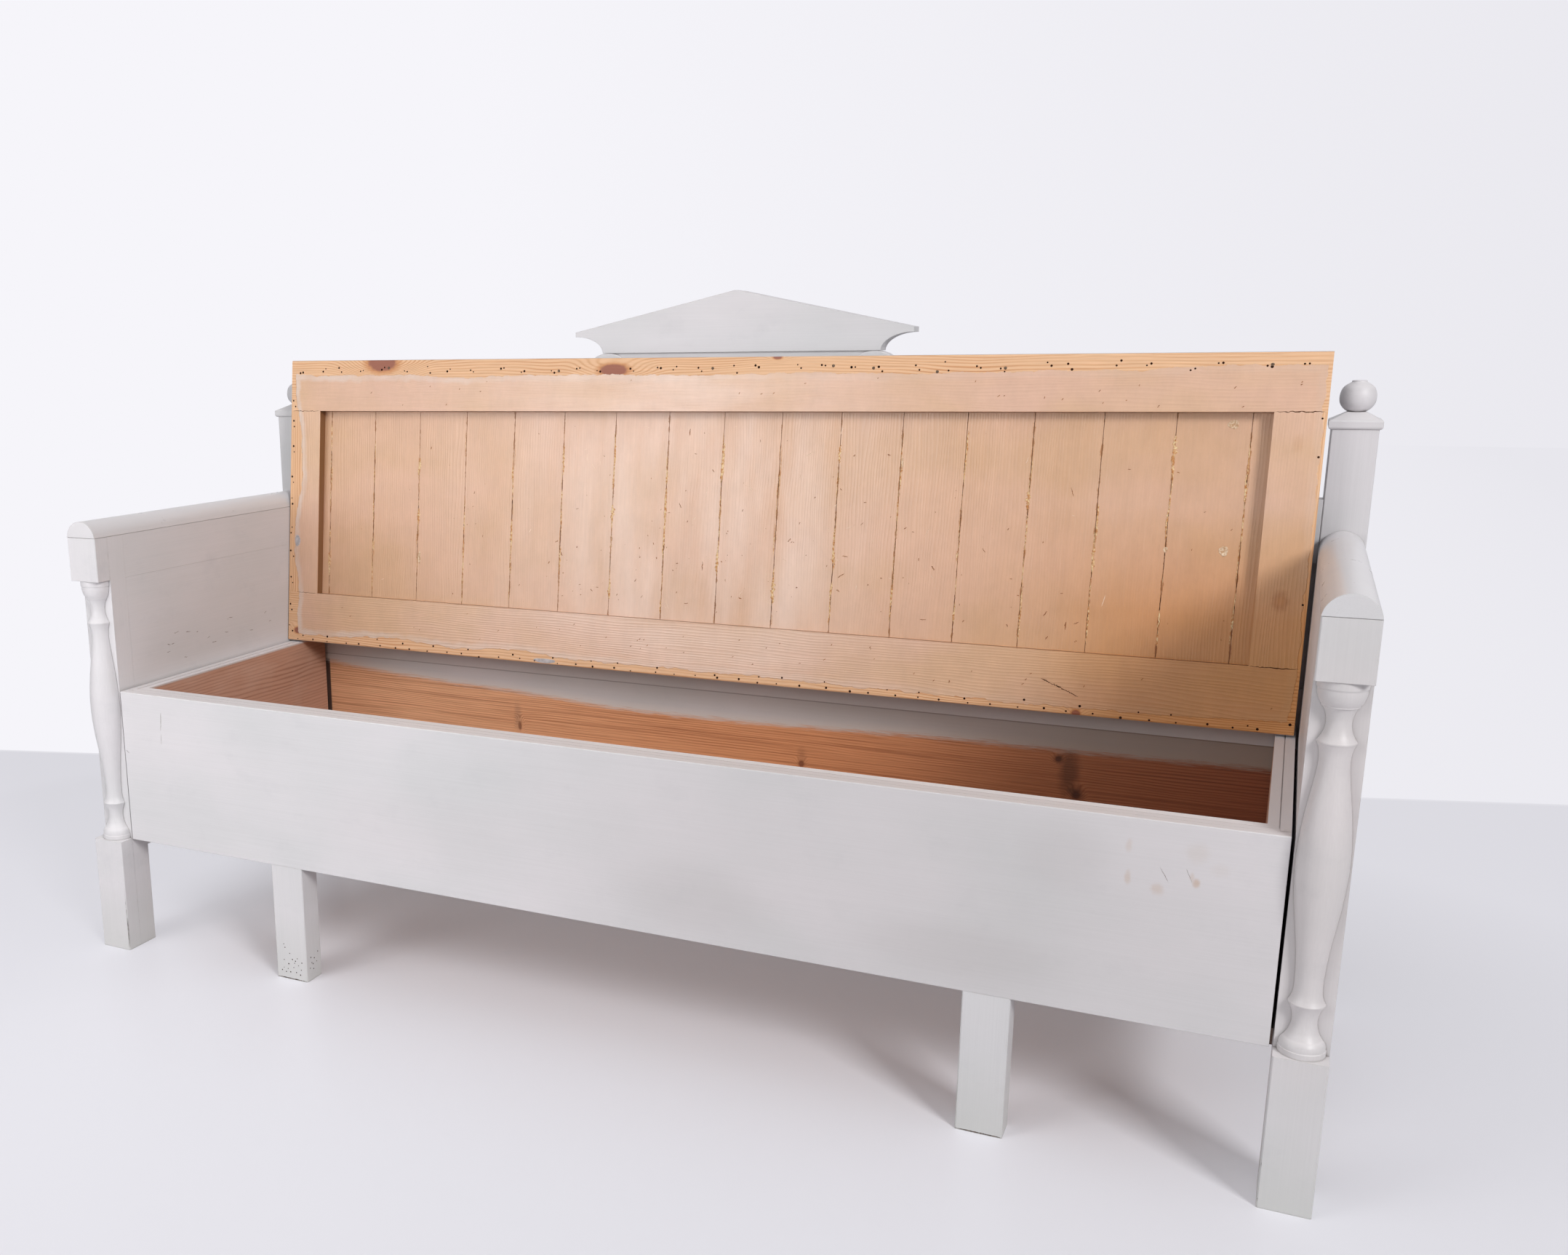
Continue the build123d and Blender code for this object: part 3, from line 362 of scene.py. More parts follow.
def half_painted_pine(name):
    """Wide back boards, painted grey down to a hand's breadth above the bed and left bare below.
    They give the eye a dragged, pale, dry-brushed paint edge over long brown grain with knots,
    darkened by painted shade towards the right and by a painted shadow in the left corner."""
    made, tree = start(name)
    place = laid(tree)
    apart = node(tree, "SeparateXYZ", {0: place}).outputs
    wood, rings = pine_layer(tree, place, 4.6, "#E6B28B", "#B07449", WALL_KNOTS, "#8A5A40", 30.0, 0.8)
    # The right of the boards lies in shade: painted shade darkens the bare wood and the grey paint there.
    brown = hand_drawn(tree, apart[0], WALL_SPAN, WALL_PAINTED_SHADE)
    orange = hand_drawn(tree, apart[0], WALL_SPAN, WALL_ORANGE)
    streaks = patches(tree, laid(tree, (340, 9, 2.6)), (0.5, 0.68), (0.0, 0.6), 6.0, 0.6)[1]
    turned = ((streaks, "#8E5430"), (orange, "#FFE7CE", "MULTIPLY"), (brown, "#86554F", "MULTIPLY"))
    wood = smudged(tree, place, coated(tree, wood, *turned), WALL_SMEARS)
    front = node(tree, "Math", {0: apart[1], 1: BACK_FACE + WALL_SKIN}, operation="LESS_THAN").outputs[0]
    # A painted shadow in the left corner, where the end of the box side shades the boards.
    shadow = {"Value": apart[0], "From Min": CORNER_SHADOW_STRIP[0], "From Max": CORNER_SHADOW_STRIP[1]}
    strip = node(tree, "MapRange", shadow).outputs[0]
    corner = node(tree, "Math", {0: strip, 1: front}, operation="MULTIPLY").outputs[0]
    wood = coated(tree, wood, (corner, "#4A342C"))

    line = hand_drawn(tree, apart[0], WALL_SPAN, WALL_PAINT_EDGE)
    over = node(tree, "Math", {0: apart[2], 1: line}, operation="SUBTRACT").outputs[0]
    bristles = {"Vector": laid(tree, (42, 3, 2.2)), "Scale": 1.0, "Detail": 4.0, "Roughness": 0.7}
    drag = node(tree, "TexNoise", bristles).outputs[0]
    dragged = node(tree, "Math", {0: drag, 1: BRISTLE_DRAG, 2: over}, operation="MULTIPLY_ADD").outputs[0]
    cover = {"Value": dragged, "From Min": DRAG_COVERS[0], "From Max": DRAG_COVERS[1]}
    covered = node(tree, "MapRange", cover)
    mask = node(tree, "Math", {0: covered.outputs[0], 1: front}, operation="MULTIPLY").outputs[0]
    paint, gloss, height = grey_layer(tree, "x", 0.2)
    fringe = node(tree, "MapRange", {"Value": over, "From Min": 18.0, "From Max": 2.0, "To Max": 0.7})
    # Painted shade on the grey paint, growing towards the right.
    shade_on_paint = node(tree, "Math", {0: brown, 1: 0.95}, operation="MULTIPLY")
    paint = coated(tree, paint, (fringe.outputs[0], "#D9CFC8"), (shade_on_paint.outputs[0], "#8A7462"))
    colour, roughness, relief = two_coats(tree, mask, (wood, 0.66, rings), (paint, gloss, height))
    joint = {"Value": apart[2], "From Min": WALL_JOINT[0], "From Max": WALL_JOINT[1], "To Max": 0.4}
    colour = coated(tree, colour, (node(tree, "MapRange", joint).outputs[0], "#4E423C"))
    shade(tree, colour, roughness, relief, 0.14)
    return made


RIM_PAINT_FADES = (1.0, 4.0)       # how far below the rim the paint begins and ends to give way
BOX_SKIN = 0.5                     # how far outside an inner face its bare finish still holds


def box_pine(name, axis):
    """Box timbers, grey on the rim and outside and left bare inside. They give the eye dull
    pinkish brown pine below a pale painted rim."""
    made, tree = start(name)
    place = laid(tree)
    wood, rings = pine_layer(tree, swung(tree, place, axis), 7.0, "#BC917B", "#966853", contrast=0.8)
    dust = patches(tree, laid(tree, (90, 120, 70)), (0.5, 0.75), (0.0, 0.3), 5.0)[1]
    wood = coated(tree, wood, (dust, "#CDB2A4"))
    size = node(tree, "VectorMath", {0: place}, operation="ABSOLUTE")
    aside, plain = node(tree, "SeparateXYZ", {0: size.outputs[0]}), node(tree, "SeparateXYZ", {0: place})
    inward = node(tree, "Math", {0: aside.outputs[0], 1: BOX_INNER_X + BOX_SKIN}, operation="LESS_THAN")
    behind = node(tree, "Math", {0: plain.outputs[1], 1: BOX_INNER_Y - BOX_SKIN}, operation="GREATER_THAN")
    first, last = (RIM_H - depth for depth in RIM_PAINT_FADES)
    below = node(tree, "MapRange", {"Value": plain.outputs[2], "From Min": first, "From Max": last})
    inside = node(tree, "Math", {0: inward.outputs[0], 1: behind.outputs[0]}, operation="MULTIPLY")
    bare = node(tree, "Math", {0: inside.outputs[0], 1: below.outputs[0]}, operation="MULTIPLY").outputs[0]
    paint = grey_layer(tree, axis, 0.35)
    colour, roughness, relief = two_coats(tree, bare, paint, (wood, 0.66, rings))
    shade(tree, colour, roughness, relief, 0.12)
    return made


# ---- Lid: salmon paint over pine --------------------------------------------------------------
RAIL_KNOTS = ((-680, 533, 30, 16), (-206, 517, 25, 10), (86, 536, 7, 3), (590, 3, 6, 5), (-864, 20, 7, 6))
# Width of the bare border at evenly spaced stations, left to right and then bottom to top.
BARE_TOP = (26, 29, 28, 33, 29, 29, 30, 29, 27, 29, 28, 25, 25, 19, 21)
BARE_BOTTOM = (13, 15, 21, 14, 21, 12, 14, 13, 14, 11, 12, 11, 12, 15, 19)
BARE_LEFT = (40, 21, 24, 19, 13, 13, 19, 28, 26, 24, 14, 9, 24)
BARE_RIGHT = (12, 8, 5, 4, 5, 5, 4, 5, 5, 4, 5, 6, 9)
LIP_STRENGTH = (0.6, 0.5, 0.35, 0.25, 0.2, 0.16, 0.12, 0.1, 0.1)        # left to right
RIGHT_PAINTED_SHADE = (0.0, 0.0, 0.0, 0.0, 0.0, 0.0, 0.1, 0.8, 0.95)           # painted shade of the right arm, tan and darker, left to right
FIELD_RUBBED_AND_HIGHLIT = (0.0, 0.0, 0.2, 0.72, 0.95, 0.35, 0.12, 0.1, 0.1)        # rubbed paleness and painted highlight, left to right
ALONG, UP = (-LID_HALF, LID_HALF), (0.0, LID_W)
BARE_EDGES = (   # axis along it, its span, widths, axis across it, way out, where the edge lies
    (0, ALONG, BARE_TOP, 2, 1.0, -LID_W),
    (0, ALONG, BARE_BOTTOM, 2, -1.0, 0.0),
    (2, UP, BARE_LEFT, 0, -1.0, -LID_HALF),
    (2, UP, BARE_RIGHT, 0, 1.0, -LID_HALF),
)
# The next four are in millimetres past the paint's edge, as border_reach counts them.
LIP_THINS = (-5.0, 1.0)            # over these the paint thins to its lip
WOOD_SHOWS = (7.2, 7.9)            # and over these it gives way to bare wood
REVEAL_WITHIN = -20.0              # a side face further in than this is a reveal
EDGE_BEYOND = -8.0                 # a side face further out than this is an edge of the lid
PAINTED_SHADE_DEEPENS = (320.0, 160.0)       # heights on the lid between which the painted shade deepens
LID_SKIN = 1.0                     # how deep the finish of a face reaches
PINK, TAN = "#D8B098", "#D3AC8B"
RUBBED_PINK_AND_HIGHLIGHT, THIN_LIP, FLECK = "#E6CAB9", "#DACBC1", "#A2714F"


def border_reach(tree, apart):
    """Millimetres past the line where the salmon paint stops, counted outwards: the furthest of
    the four given edges, made ragged by noise."""
    reach = None
    for run, span, widths, over, way, limit in BARE_EDGES:
        width = hand_drawn(tree, apart[run], span, widths)
        inside = node(tree, "Math", {0: apart[over], 1: way, 2: width}, operation="MULTIPLY_ADD")
        past = node(tree, "Math", {0: inside.outputs[0], 1: limit}, operation="ADD").outputs[0]
        if reach:
            past = node(tree, "Math", {0: reach, 1: past}, operation="MAXIMUM").outputs[0]
        reach = past
    lumps = {"Vector": lid_laid(tree, (24, 24, 24)), "Scale": 1.0, "Detail": 5.0, "Roughness": 0.6}
    ragged = node(tree, "TexNoise", lumps).outputs[0]
    return node(tree, "Math", {0: ragged, 1: 15.0, 2: reach}, operation="MULTIPLY_ADD").outputs[0]


def salmon_layer(tree, apart, axis, tones, reach):
    """Colour and brush noise of the salmon paint: it drifts from pink to tan, is paler near the
    middle, partly rubbed and partly a painted highlight, thins to a pale lip where it stops, and
    has brush lines, mottling and flecks."""
    warm = patches(tree, lid_laid(tree, (260, 190, 150)), (0.38, 0.62))[1]
    paler = patches(tree, lid_laid(tree, drawn_out(axis, 300, 70)), (0.25, 0.7), (0.0, 1.0), 6.0)[1]
    # Paler near the middle: partly rubbed paint, partly a painted highlight.
    centre = hand_drawn(tree, apart[0], ALONG, FIELD_RUBBED_AND_HIGHLIT)
    worn = node(tree, "Math", {0: paler, 1: centre}, operation="MULTIPLY").outputs[0]
    faded = patches(tree, lid_laid(tree, (75, 40, 75)), (0.3, 0.55), (0.3, 1.0), 4.0)[1]
    left_most = hand_drawn(tree, apart[0], ALONG, LIP_STRENGTH)
    strength = node(tree, "Math", {0: faded, 1: left_most}, operation="MULTIPLY").outputs[0]
    lip = node(tree, "MapRange", {"Value": reach, "From Min": LIP_THINS[0], "From Max": LIP_THINS[1]})
    lipped = node(tree, "Math", {0: lip.outputs[0], 1: strength}, operation="MULTIPLY").outputs[0]
    coats = ((warm, tones[1]), (worn, RUBBED_PINK_AND_HIGHLIGHT), (lipped, THIN_LIP))
    colour = coated(tree, linear(tones[0]), *coats)
    strokes = lid_laid(tree, drawn_out(axis, 110, 3.4))
    brush, lines = patches(tree, strokes, (0.3, 0.7), (0.965, 1.02), 5.0, 0.62)
    mottled = patches(tree, lid_laid(tree, (34, 34, 60)), (0.3, 0.7), (0.93, 1.05), 9.0, 0.72)[1]
    uneven = node(tree, "Math", {0: lines, 1: mottled}, operation="MULTIPLY").outputs[0]
    colour = node(tree, "VectorMath", {0: colour, "Scale": uneven}, operation="SCALE").outputs[0]
    flecks = patches(tree, lid_laid(tree, (6, 6, 8)), (0.72, 0.76), (0.0, 0.55), 4.0, 0.6)[1]
    return coated(tree, colour, (flecks, FLECK)), brush


def seam_stain(tree, across):
    """How far brown stain has crept from the joints between boards: the distance to the nearest
    joint, taken from a reach that noise varies."""
    from_first = node(tree, "Math", {0: across, 1: LID_FIRST_SEAM}, operation="SUBTRACT")
    seam = node(tree, "Math", {0: from_first.outputs[0], 1: LID_BOARD_W / 2}, operation="PINGPONG")
    spread = patches(tree, lid_laid(tree, (22, 22, 30)), (0.42, 0.66), (-0.5, 2.6), 6.0, 0.75)[1]
    near = node(tree, "Math", {0: spread, 1: seam.outputs[0]}, operation="SUBTRACT").outputs[0]
    crept = {"Value": near, "From Min": -0.5, "From Max": 0.5, "To Max": 0.8}
    return node(tree, "MapRange", crept).outputs[0]


def lid_paint(name, upright, seams=False, knots=(), tones=(PINK, TAN), ghosts=()):
    """Salmon oil paint on pine. It gives the eye brushed satin paint that drifts from pink to tan,
    a paler thin lip where it stops short of the lid's outline, bright orange bare pine beyond
    it, reveals darkened by painted shade, brown stain along the joints between boards, a painted
    shade, tan and darker, in the lower right corner, and grey paint on the edges and the seat
    side. tones are its pink and its tan, and ghosts are knots that show through it."""
    made, tree = start(name)
    place = lid_laid(tree)
    apart = node(tree, "SeparateXYZ", {0: place}).outputs
    reach = border_reach(tree, apart)
    painted, brush = salmon_layer(tree, apart, "z" if upright else "x", tones, reach)
    painted = smudged(tree, place, painted, ghosts)

    # The reveals, the side faces of the recess, are painted dark brown: painted shade.
    middle, half = LID_RECESS / 2, LID_RECESS / 2 - 1.5
    sunk = node(tree, "Math", {0: apart[1], 1: middle, 2: half}, operation="COMPARE")
    inner = node(tree, "Math", {0: reach, 1: REVEAL_WITHIN}, operation="LESS_THAN")
    reveal = node(tree, "Math", {0: sunk.outputs[0], 1: inner.outputs[0]}, operation="MULTIPLY")
    reveal_shade = node(tree, "Math", {0: reveal.outputs[0], 1: 0.9}, operation="MULTIPLY")
    stains = [(seam_stain(tree, apart[0]), "#A0662F")] if seams else []
    painted = coated(tree, painted, *stains, (reveal_shade.outputs[0], "#74491E"))

    grain = swung(tree, place, "z") if upright else place
    wood, rings = pine_layer(tree, grain, 4.6, "#E3B891", "#C07F4A", knots)
    showing = {"Value": reach, "From Min": WOOD_SHOWS[0], "From Max": WOOD_SHOWS[1]}
    bare = node(tree, "MapRange", showing).outputs[0]
    under = node(tree, "Mix", {"Factor": bare, 6: painted, 7: wood}, data_type="RGBA").outputs[2]
    # The lower right corner, where the right arm shades the lid, is painted tan and darker: painted shade.
    darker = hand_drawn(tree, apart[0], ALONG, RIGHT_PAINTED_SHADE)
    down = {"Value": apart[2], "From Min": PAINTED_SHADE_DEEPENS[0], "From Max": PAINTED_SHADE_DEEPENS[1]}
    lower = node(tree, "MapRange", down)
    painted_shade = node(tree, "Math", {0: darker, 1: lower.outputs[0]}, operation="MULTIPLY")
    under = coated(tree, under, (painted_shade.outputs[0], "#ECCE9D", "MULTIPLY"))

    grey, grey_gloss = grey_layer(tree, "x", 0.3, lid_laid, dust=0.0)[:2]
    seat = node(tree, "Math", {0: apart[1], 1: LID_T - LID_SKIN}, operation="GREATER_THAN")
    off_face = node(tree, "Math", {0: apart[1], 1: LID_SKIN}, operation="GREATER_THAN")
    outline = node(tree, "Math", {0: reach, 1: EDGE_BEYOND}, operation="GREATER_THAN")
    edges = node(tree, "Math", {0: off_face.outputs[0], 1: outline.outputs[0]}, operation="MULTIPLY")
    greyed = node(tree, "Math", {0: seat.outputs[0], 1: edges.outputs[0]}, operation="MAXIMUM").outputs[0]
    colour = node(tree, "Mix", {"Factor": greyed, 6: under, 7: grey}, data_type="RGBA").outputs[2]
    gloss = node(tree, "Mix", {"Factor": bare, 2: 0.34, 3: 0.6}).outputs[0]
    gloss = node(tree, "Mix", {"Factor": greyed, 2: gloss, 3: grey_gloss}).outputs[0]
    relief = node(tree, "Math", {0: rings, 1: 0.5, 2: brush}, operation="MULTIPLY_ADD").outputs[0]
    thick = node(tree, "Math", {0: bare, 1: -1.6, 2: relief}, operation="MULTIPLY_ADD").outputs[0]
    shade(tree, colour, gloss, thick, 0.28)
    return made


# ---- Finishes for every node ------------------------------------------------------------------
RUST, HANDLED, WEATHERED_AND_SHADED = "#B48A5E", "#B9A48C", "#A39B9A"
FRONT_SMUDGES = (
    (791, 389, 5, 6, 0.5, RUST),
    (786, 396, 3, 5, 0.25, RUST),
    (749, 374, 8, 8, 0.3, RUST),
    (715, 384, 4, 10, 0.32, RUST),
    (714, 425, 4, 9, 0.2, RUST),
    (790, 425, 14, 14, 0.16, HANDLED),
    (815, 408, 12, 9, 0.1, HANDLED),
    # The widest mark darkens the right of the box front: painted shade.
    (420, 330, 620, 300, 0.26, WEATHERED_AND_SHADED),
    (150, 260, 120, 60, 0.16, WEATHERED_AND_SHADED),
    (520, 250, 140, 45, 0.18, WEATHERED_AND_SHADED),
    (640, 400, 60, 50, 0.14, WEATHERED_AND_SHADED),
    (-300, 300, 200, 70, 0.08, WEATHERED_AND_SHADED),
)
STILE_GHOSTS = (
    (851, 190, 12, 16, 0.6, "#A5734A"),
    (851, 190, 6, 9, 0.6, "#CFA27C"),
    (-851, 300, 9, 22, 0.3, "#BE8E68"),
    (853, 410, 8, 14, 0.25, "#BE8E68"),
)
POST_TONE = ((920, 450, 90, 330, 0.22, "#A8988E"),)
FINISHES = (
    (grey_paint("grey_oil_paint_upright", "z"), "back_post_left back_post_right back_muntin"),
    (
        grey_paint("grey_oil_paint_worn_posts", "z", 0.3, 0.5, marks=POST_TONE, crevice_dirt_and_shade=1.0),
        "front_stile_left front_stile_right front_turning_left front_turning_right "
        "box_leg_left box_leg_right",
    ),
    (grey_paint("grey_oil_paint_ends", "y"), "arm_rail_left arm_rail_right end_panel_left end_panel_right"),
    (
        grey_paint("grey_oil_paint_polished_by_hands", "y", 0.2, gloss=(0.26, 0.36)),
        "arm_cap_left arm_cap_right",
    ),
    (
        grey_paint("grey_oil_paint_back", "x"),
        "post_cap_left post_cap_right finial_left finial_right seat_rail top_rail back_panel_left "
        "back_panel_right crest_board crest_disc_left crest_disc_right pediment",
    ),
    (grey_paint("grey_oil_paint_box_front", "x", 0.2, 0.5, (0.36, 0.5), FRONT_SMUDGES), "box_front"),
    (half_painted_pine("half_painted_wide_boards"), "back_board_lower back_board_upper"),
    (box_pine("bare_pine_lining_grey_rim", "x"), "box_liner"),
    (box_pine("bare_pine_sides_grey_rim", "y"), "box_side_left box_side_right"),
    (bare_pine("bare_pine_slats", "y"), "fixed_slats moving_slats"),
    (bare_pine("bare_pine_stretcher", "x"), "front_stretcher"),
    (bare_pine("grimy_pine_runners", "y", "#6E5A50", "#54433B"), "runner_left runner_right"),
    (lid_paint("salmon_paint_rails", False, knots=RAIL_KNOTS), "lid_rail_front lid_rail_rear"),
    (lid_paint("salmon_paint_stiles", True, ghosts=STILE_GHOSTS), "lid_stile_left lid_stile_right"),
    (
        lid_paint("salmon_paint_boards", True, True, tones=("#D6AB8E", "#CFA582")),
        " ".join(name for name in NODES if name.startswith(("lid_board", "lid_strip"))),
    ),
)
for finish, names in FINISHES:
    for name in names.split():
        NODES[name].data.materials[0] = finish


# ---- Fine pieces: surfaces worked out on a grid ------------------------------------------------
def grid_faces(rows, columns):
    """Quads of a grid of points, row after row, with the last column joined to the first."""
    row, column = np.meshgrid(np.arange(rows - 1), np.arange(columns), indexing="ij")
    here = row * columns + column
    beside = row * columns + (column + 1) % columns
    return np.stack([here, beside, beside + columns, here + columns], axis=-1).reshape(-1, 4)


def repeated(faces, points_each, count):
    """The faces of one copy, numbered on for each of count copies."""
    return (faces[None] + (np.arange(count) * points_each)[:, None, None]).reshape(-1, 4)


def spots(places, radii, profile, sides=12, wobble=0.0):
    """Small round solids on a flat face. A profile of (share of the radius, height) is turned
    about each place, from the middle of its hidden foot to the middle of its top. Each outline
    swells by a share, wobble, of two sines of the angle. places holds (along, up) in
    millimetres, and radii one or two half sizes each."""
    places, radii = np.asarray(places, float), np.asarray(radii, float)
    halves = radii if radii.ndim == 2 else np.c_[radii, radii]
    share, height = np.array(profile).T
    turn = np.linspace(0, 2 * pi, sides, endpoint=False)
    phase = RANDOM.uniform(0, 2 * pi, (len(places), 2, 1))
    swell = 1 + wobble * (np.sin(3 * turn + phase[:, 0]) + 0.5 * np.sin(7 * turn + phase[:, 1]))
    ring = share[None, :, None] * swell[:, None, :]
    along = places[:, 0, None, None] + halves[:, 0, None, None] * ring * np.cos(turn)
    up = places[:, 1, None, None] + halves[:, 1, None, None] * ring * np.sin(turn)
    out = np.broadcast_to(height[None, :, None], along.shape)
    points = np.stack([along, up, out], axis=-1).reshape(-1, 3)
    return points, repeated(grid_faces(len(profile), sides), len(profile) * sides, len(places))


def beads(starts, ends, half_widths, height, stations=24, sides=8, stray=0.4):
    """Crumbly beads on a flat face, each along a line from its start to its end. The section is a
    half round over a hidden foot. Its size grows from nothing at both ends as the root of a
    sine, is broken up by chance at each station, and strays to either side of the line."""
    starts, ends, half_widths = (np.asarray(value, float) for value in (starts, ends, half_widths))
    count = len(starts)
    t = np.linspace(0, 1, stations)
    swell = np.sqrt(np.sin(pi * t)) * RANDOM.uniform(0.45, 1.25, (count, stations))
    swell[:, [0, -1]] = 0.0
    run = ends - starts
    way = run / np.linalg.norm(run, axis=1, keepdims=True)
    side = np.stack([-way[:, 1], way[:, 0]], axis=1)
    offset = RANDOM.normal(0, stray, (count, stations)) * half_widths[:, None]
    middle = starts[:, None] + t[None, :, None] * run[:, None] + offset[..., None] * side[:, None]
    turn = np.linspace(0, 2 * pi, sides, endpoint=False)
    width = (half_widths[:, None] * swell)[..., None] * np.cos(turn)
    flat = middle[:, :, None] + width[..., None] * side[:, None, None]
    lift = height * RANDOM.uniform(0.5, 1.2, (count, stations)) * (swell > 0)
    out = lift[..., None] * np.where(np.sin(turn) > 0, np.sin(turn), 0.6 * np.sin(turn))
    points = np.concatenate([flat, out[..., None]], axis=-1).reshape(-1, 3)
    return points, repeated(grid_faces(stations, sides), stations * sides, count)


# Faces that pieces lie on: an origin, and the directions along, up and out as three rows. The
# feet are at the outline of the bench, so the faces of the end frame's foot are sunk: what lies on
# them stays inside the frame's box, and shows only where it stands higher than that.
SUNK = 0.1
LID_OUT = np.array([0, -cos(LID_LEAN), sin(LID_LEAN)])
LID_PLANE = np.array([(1, 0, 0), (0, sin(LID_LEAN), cos(LID_LEAN)), LID_OUT])
FRONT_PLANE = np.array([(1, 0, 0), (0, 0, 1), (0, -1, 0)])
SIDE_PLANE = np.array([(0, 1, 0), (0, 0, 1), (1, 0, 0)])
LID_FRAME_FACE = (np.array(LID_FOOT), LID_PLANE)
LID_FIELD_FACE = (np.array(LID_FOOT) - LID_RECESS * LID_OUT, LID_PLANE)
RIM_FACE = (np.array([0, 0, RIM_H]), np.eye(3))
FRONT_FACE = (np.array([0, BOX_FRONT_Y, 0]), FRONT_PLANE)
FOOT_FACE = (np.array([0, FOOT_FRONT_Y + SUNK, 0]), FRONT_PLANE)
FOOT_SIDE_FACE = (np.array([END_INNER_X - SUNK, 0, 0]), SIDE_PLANE)
END_FACE = (np.array([END_INNER_X, 0, 0]), SIDE_PLANE)
leg_low, leg_high = (np.array(corner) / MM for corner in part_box("box_leg_left"))
LEG_FACE = (np.array([(leg_low[0] + leg_high[0]) / 2, leg_low[1], 0]), FRONT_PLANE)
LEG_SIDE_FACE = (np.array([leg_high[0], 0, 0]), SIDE_PLANE)


def fix(name, shape, face, finish, body):
    """A mesh piece from (along, up, out) points on a face, with its doubled points at poles and
    tips merged."""
    points, faces = shape
    origin, plane = face
    mesh = bpy.data.meshes.new(name)
    mesh.from_pydata(((points @ plane + origin) * MM).tolist(), [], faces.tolist())
    mesh.materials.append(finish)
    mesh.shade_smooth()
    made = bpy.data.objects.new(name, mesh)
    bpy.context.scene.collection.objects.link(made)
    made.modifiers.new("merge_poles", "WELD").merge_threshold = 0.002 * MM
    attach(made, body)


def dull(name, light, dark, lump, roughness, metallic=0.0):
    """A dull, uneven finish: two tones mixed by noise with lumps of a real size."""
    made, tree = start(name)
    grain, tone = patches(tree, laid(tree, (lump,) * 3), (0.38, 0.62), detail=4.0)
    colour = coated(tree, linear(light), (tone, dark))
    shade(tree, colour, roughness, grain, 0.3, others={"Specular IOR Level": 0.15, "Metallic": metallic})
    return made


# Nail holes: rust stain and the painted shade of their depth, as near-black discs on the face, give the
# bare border its rows of dots.
rust_and_shade_hole = dull("rust_and_painted_shade_nail_hole", "#3A1B0C", "#200E06", 2.0, 0.9)
# Cut nails left in the wood: flat heads of dull iron.
iron_nail = dull("dull_iron_nail", "#7A6A5C", "#55402F", 1.5, 0.6, 0.3)
# Chalk and glue stopping, crumbled out of the joints: cream crumbs on orange.
stopping = dull("crumbled_cream_stopping", "#E9CFA4", "#BF8350", 4.0, 0.85)
# Joints that have opened: dark lines of old dirt.
old_dirt = dull("dirt_in_open_joints", "#5E3820", "#382013", 4.0, 0.9)
# Paint that has lifted and curled: cream ground coat with a raised edge.
ground_coat = dull("flaked_cream_ground_coat", "#E2CBB0", "#BE9672", 3.0, 0.6)
# A daub of grey paint and pale scuffs on the salmon.
grey_daub = dull("grey_paint_daub", "#BFBABC", "#A8A2A4", 6.0, 0.5)
pale_scuff = dull("pale_scuffs", "#EAD2BE", "#E2C2A6", 5.0, 0.6)
# Dents and scores through the salmon: the brown that shows below it.
bruise = dull("brown_showing_in_dents", "#A06A40", "#7C4A2C", 5.0, 0.8)
# Dirt on the grey paint, a grey line in joints and scratches, and near black lines and knocks low on the
# feet.
joint_dirt = dull("grey_dirt_in_rim_joints", "#968E8A", "#756A64", 12.0, 0.8)
dark_low_marks = dull("dark_marks_low_on_feet", "#6E625B", "#4A413C", 8.0, 0.9)


# ---- Pieces on the lid's underside ------------------------------------------------------------
# The bare border was held down by tacks and nails, now drawn: pairs along the top and the left
# side, singles along the bottom.
TACK_STEP, TACK_PAIR, BOTTOM_STEP = 49.0, 6.0, 38.0
BORDER_TOP, BORDER_BOTTOM, BORDER_LEFT, BORDER_RIGHT = 519.0, 4.5, -878.5, 880.0


def row(low, high, step, jitter):
    """Places along a line: even steps from low to high, each moved by chance."""
    even = np.arange(low, high, step)
    return even + RANDOM.uniform(-jitter, jitter, len(even))


top = row(-872.0, 876.0, TACK_STEP, 14.0)
left = row(18.0, 500.0, TACK_STEP, 9.0)
bottom = row(-866.0, 878.0, BOTTOM_STEP, 6.0)
second = row(-850.0, 870.0, 2 * BOTTOM_STEP, 24.0)
holes = np.concatenate(
    [
        np.c_[top, BORDER_TOP + RANDOM.normal(0, 3.5, len(top))],
        np.c_[top + TACK_PAIR, BORDER_TOP - 2.0 + RANDOM.normal(0, 3.5, len(top))],
        np.c_[BORDER_LEFT + RANDOM.normal(0, 2.0, len(left)), left],
        np.c_[BORDER_LEFT - 2.5 + RANDOM.normal(0, 1.0, len(left)), left + 11.0],
        np.c_[bottom, BORDER_BOTTOM + RANDOM.normal(0, 1.0, len(bottom))],
        np.c_[second, BORDER_BOTTOM + 8.0 + RANDOM.normal(0, 2.0, len(second))],
        np.c_[np.full(4, BORDER_RIGHT), (16.0, 187.0, 393.0, 446.0)],
    ]
)
HIDDEN = -0.4   # how deep the foot of each small solid lies below its face
HOLE_PROFILE = ((0, HIDDEN), (1.15, HIDDEN), (1.15, 0.0), (0.95, 0.22), (0.7, 0.05), (0, 0.05))
nail_holes = spots(holes, RANDOM.uniform(1.0, 1.9, len(holes)), HOLE_PROFILE)
fix("nail_holes", nail_holes, LID_FRAME_FACE, rust_and_shade_hole, "lid")

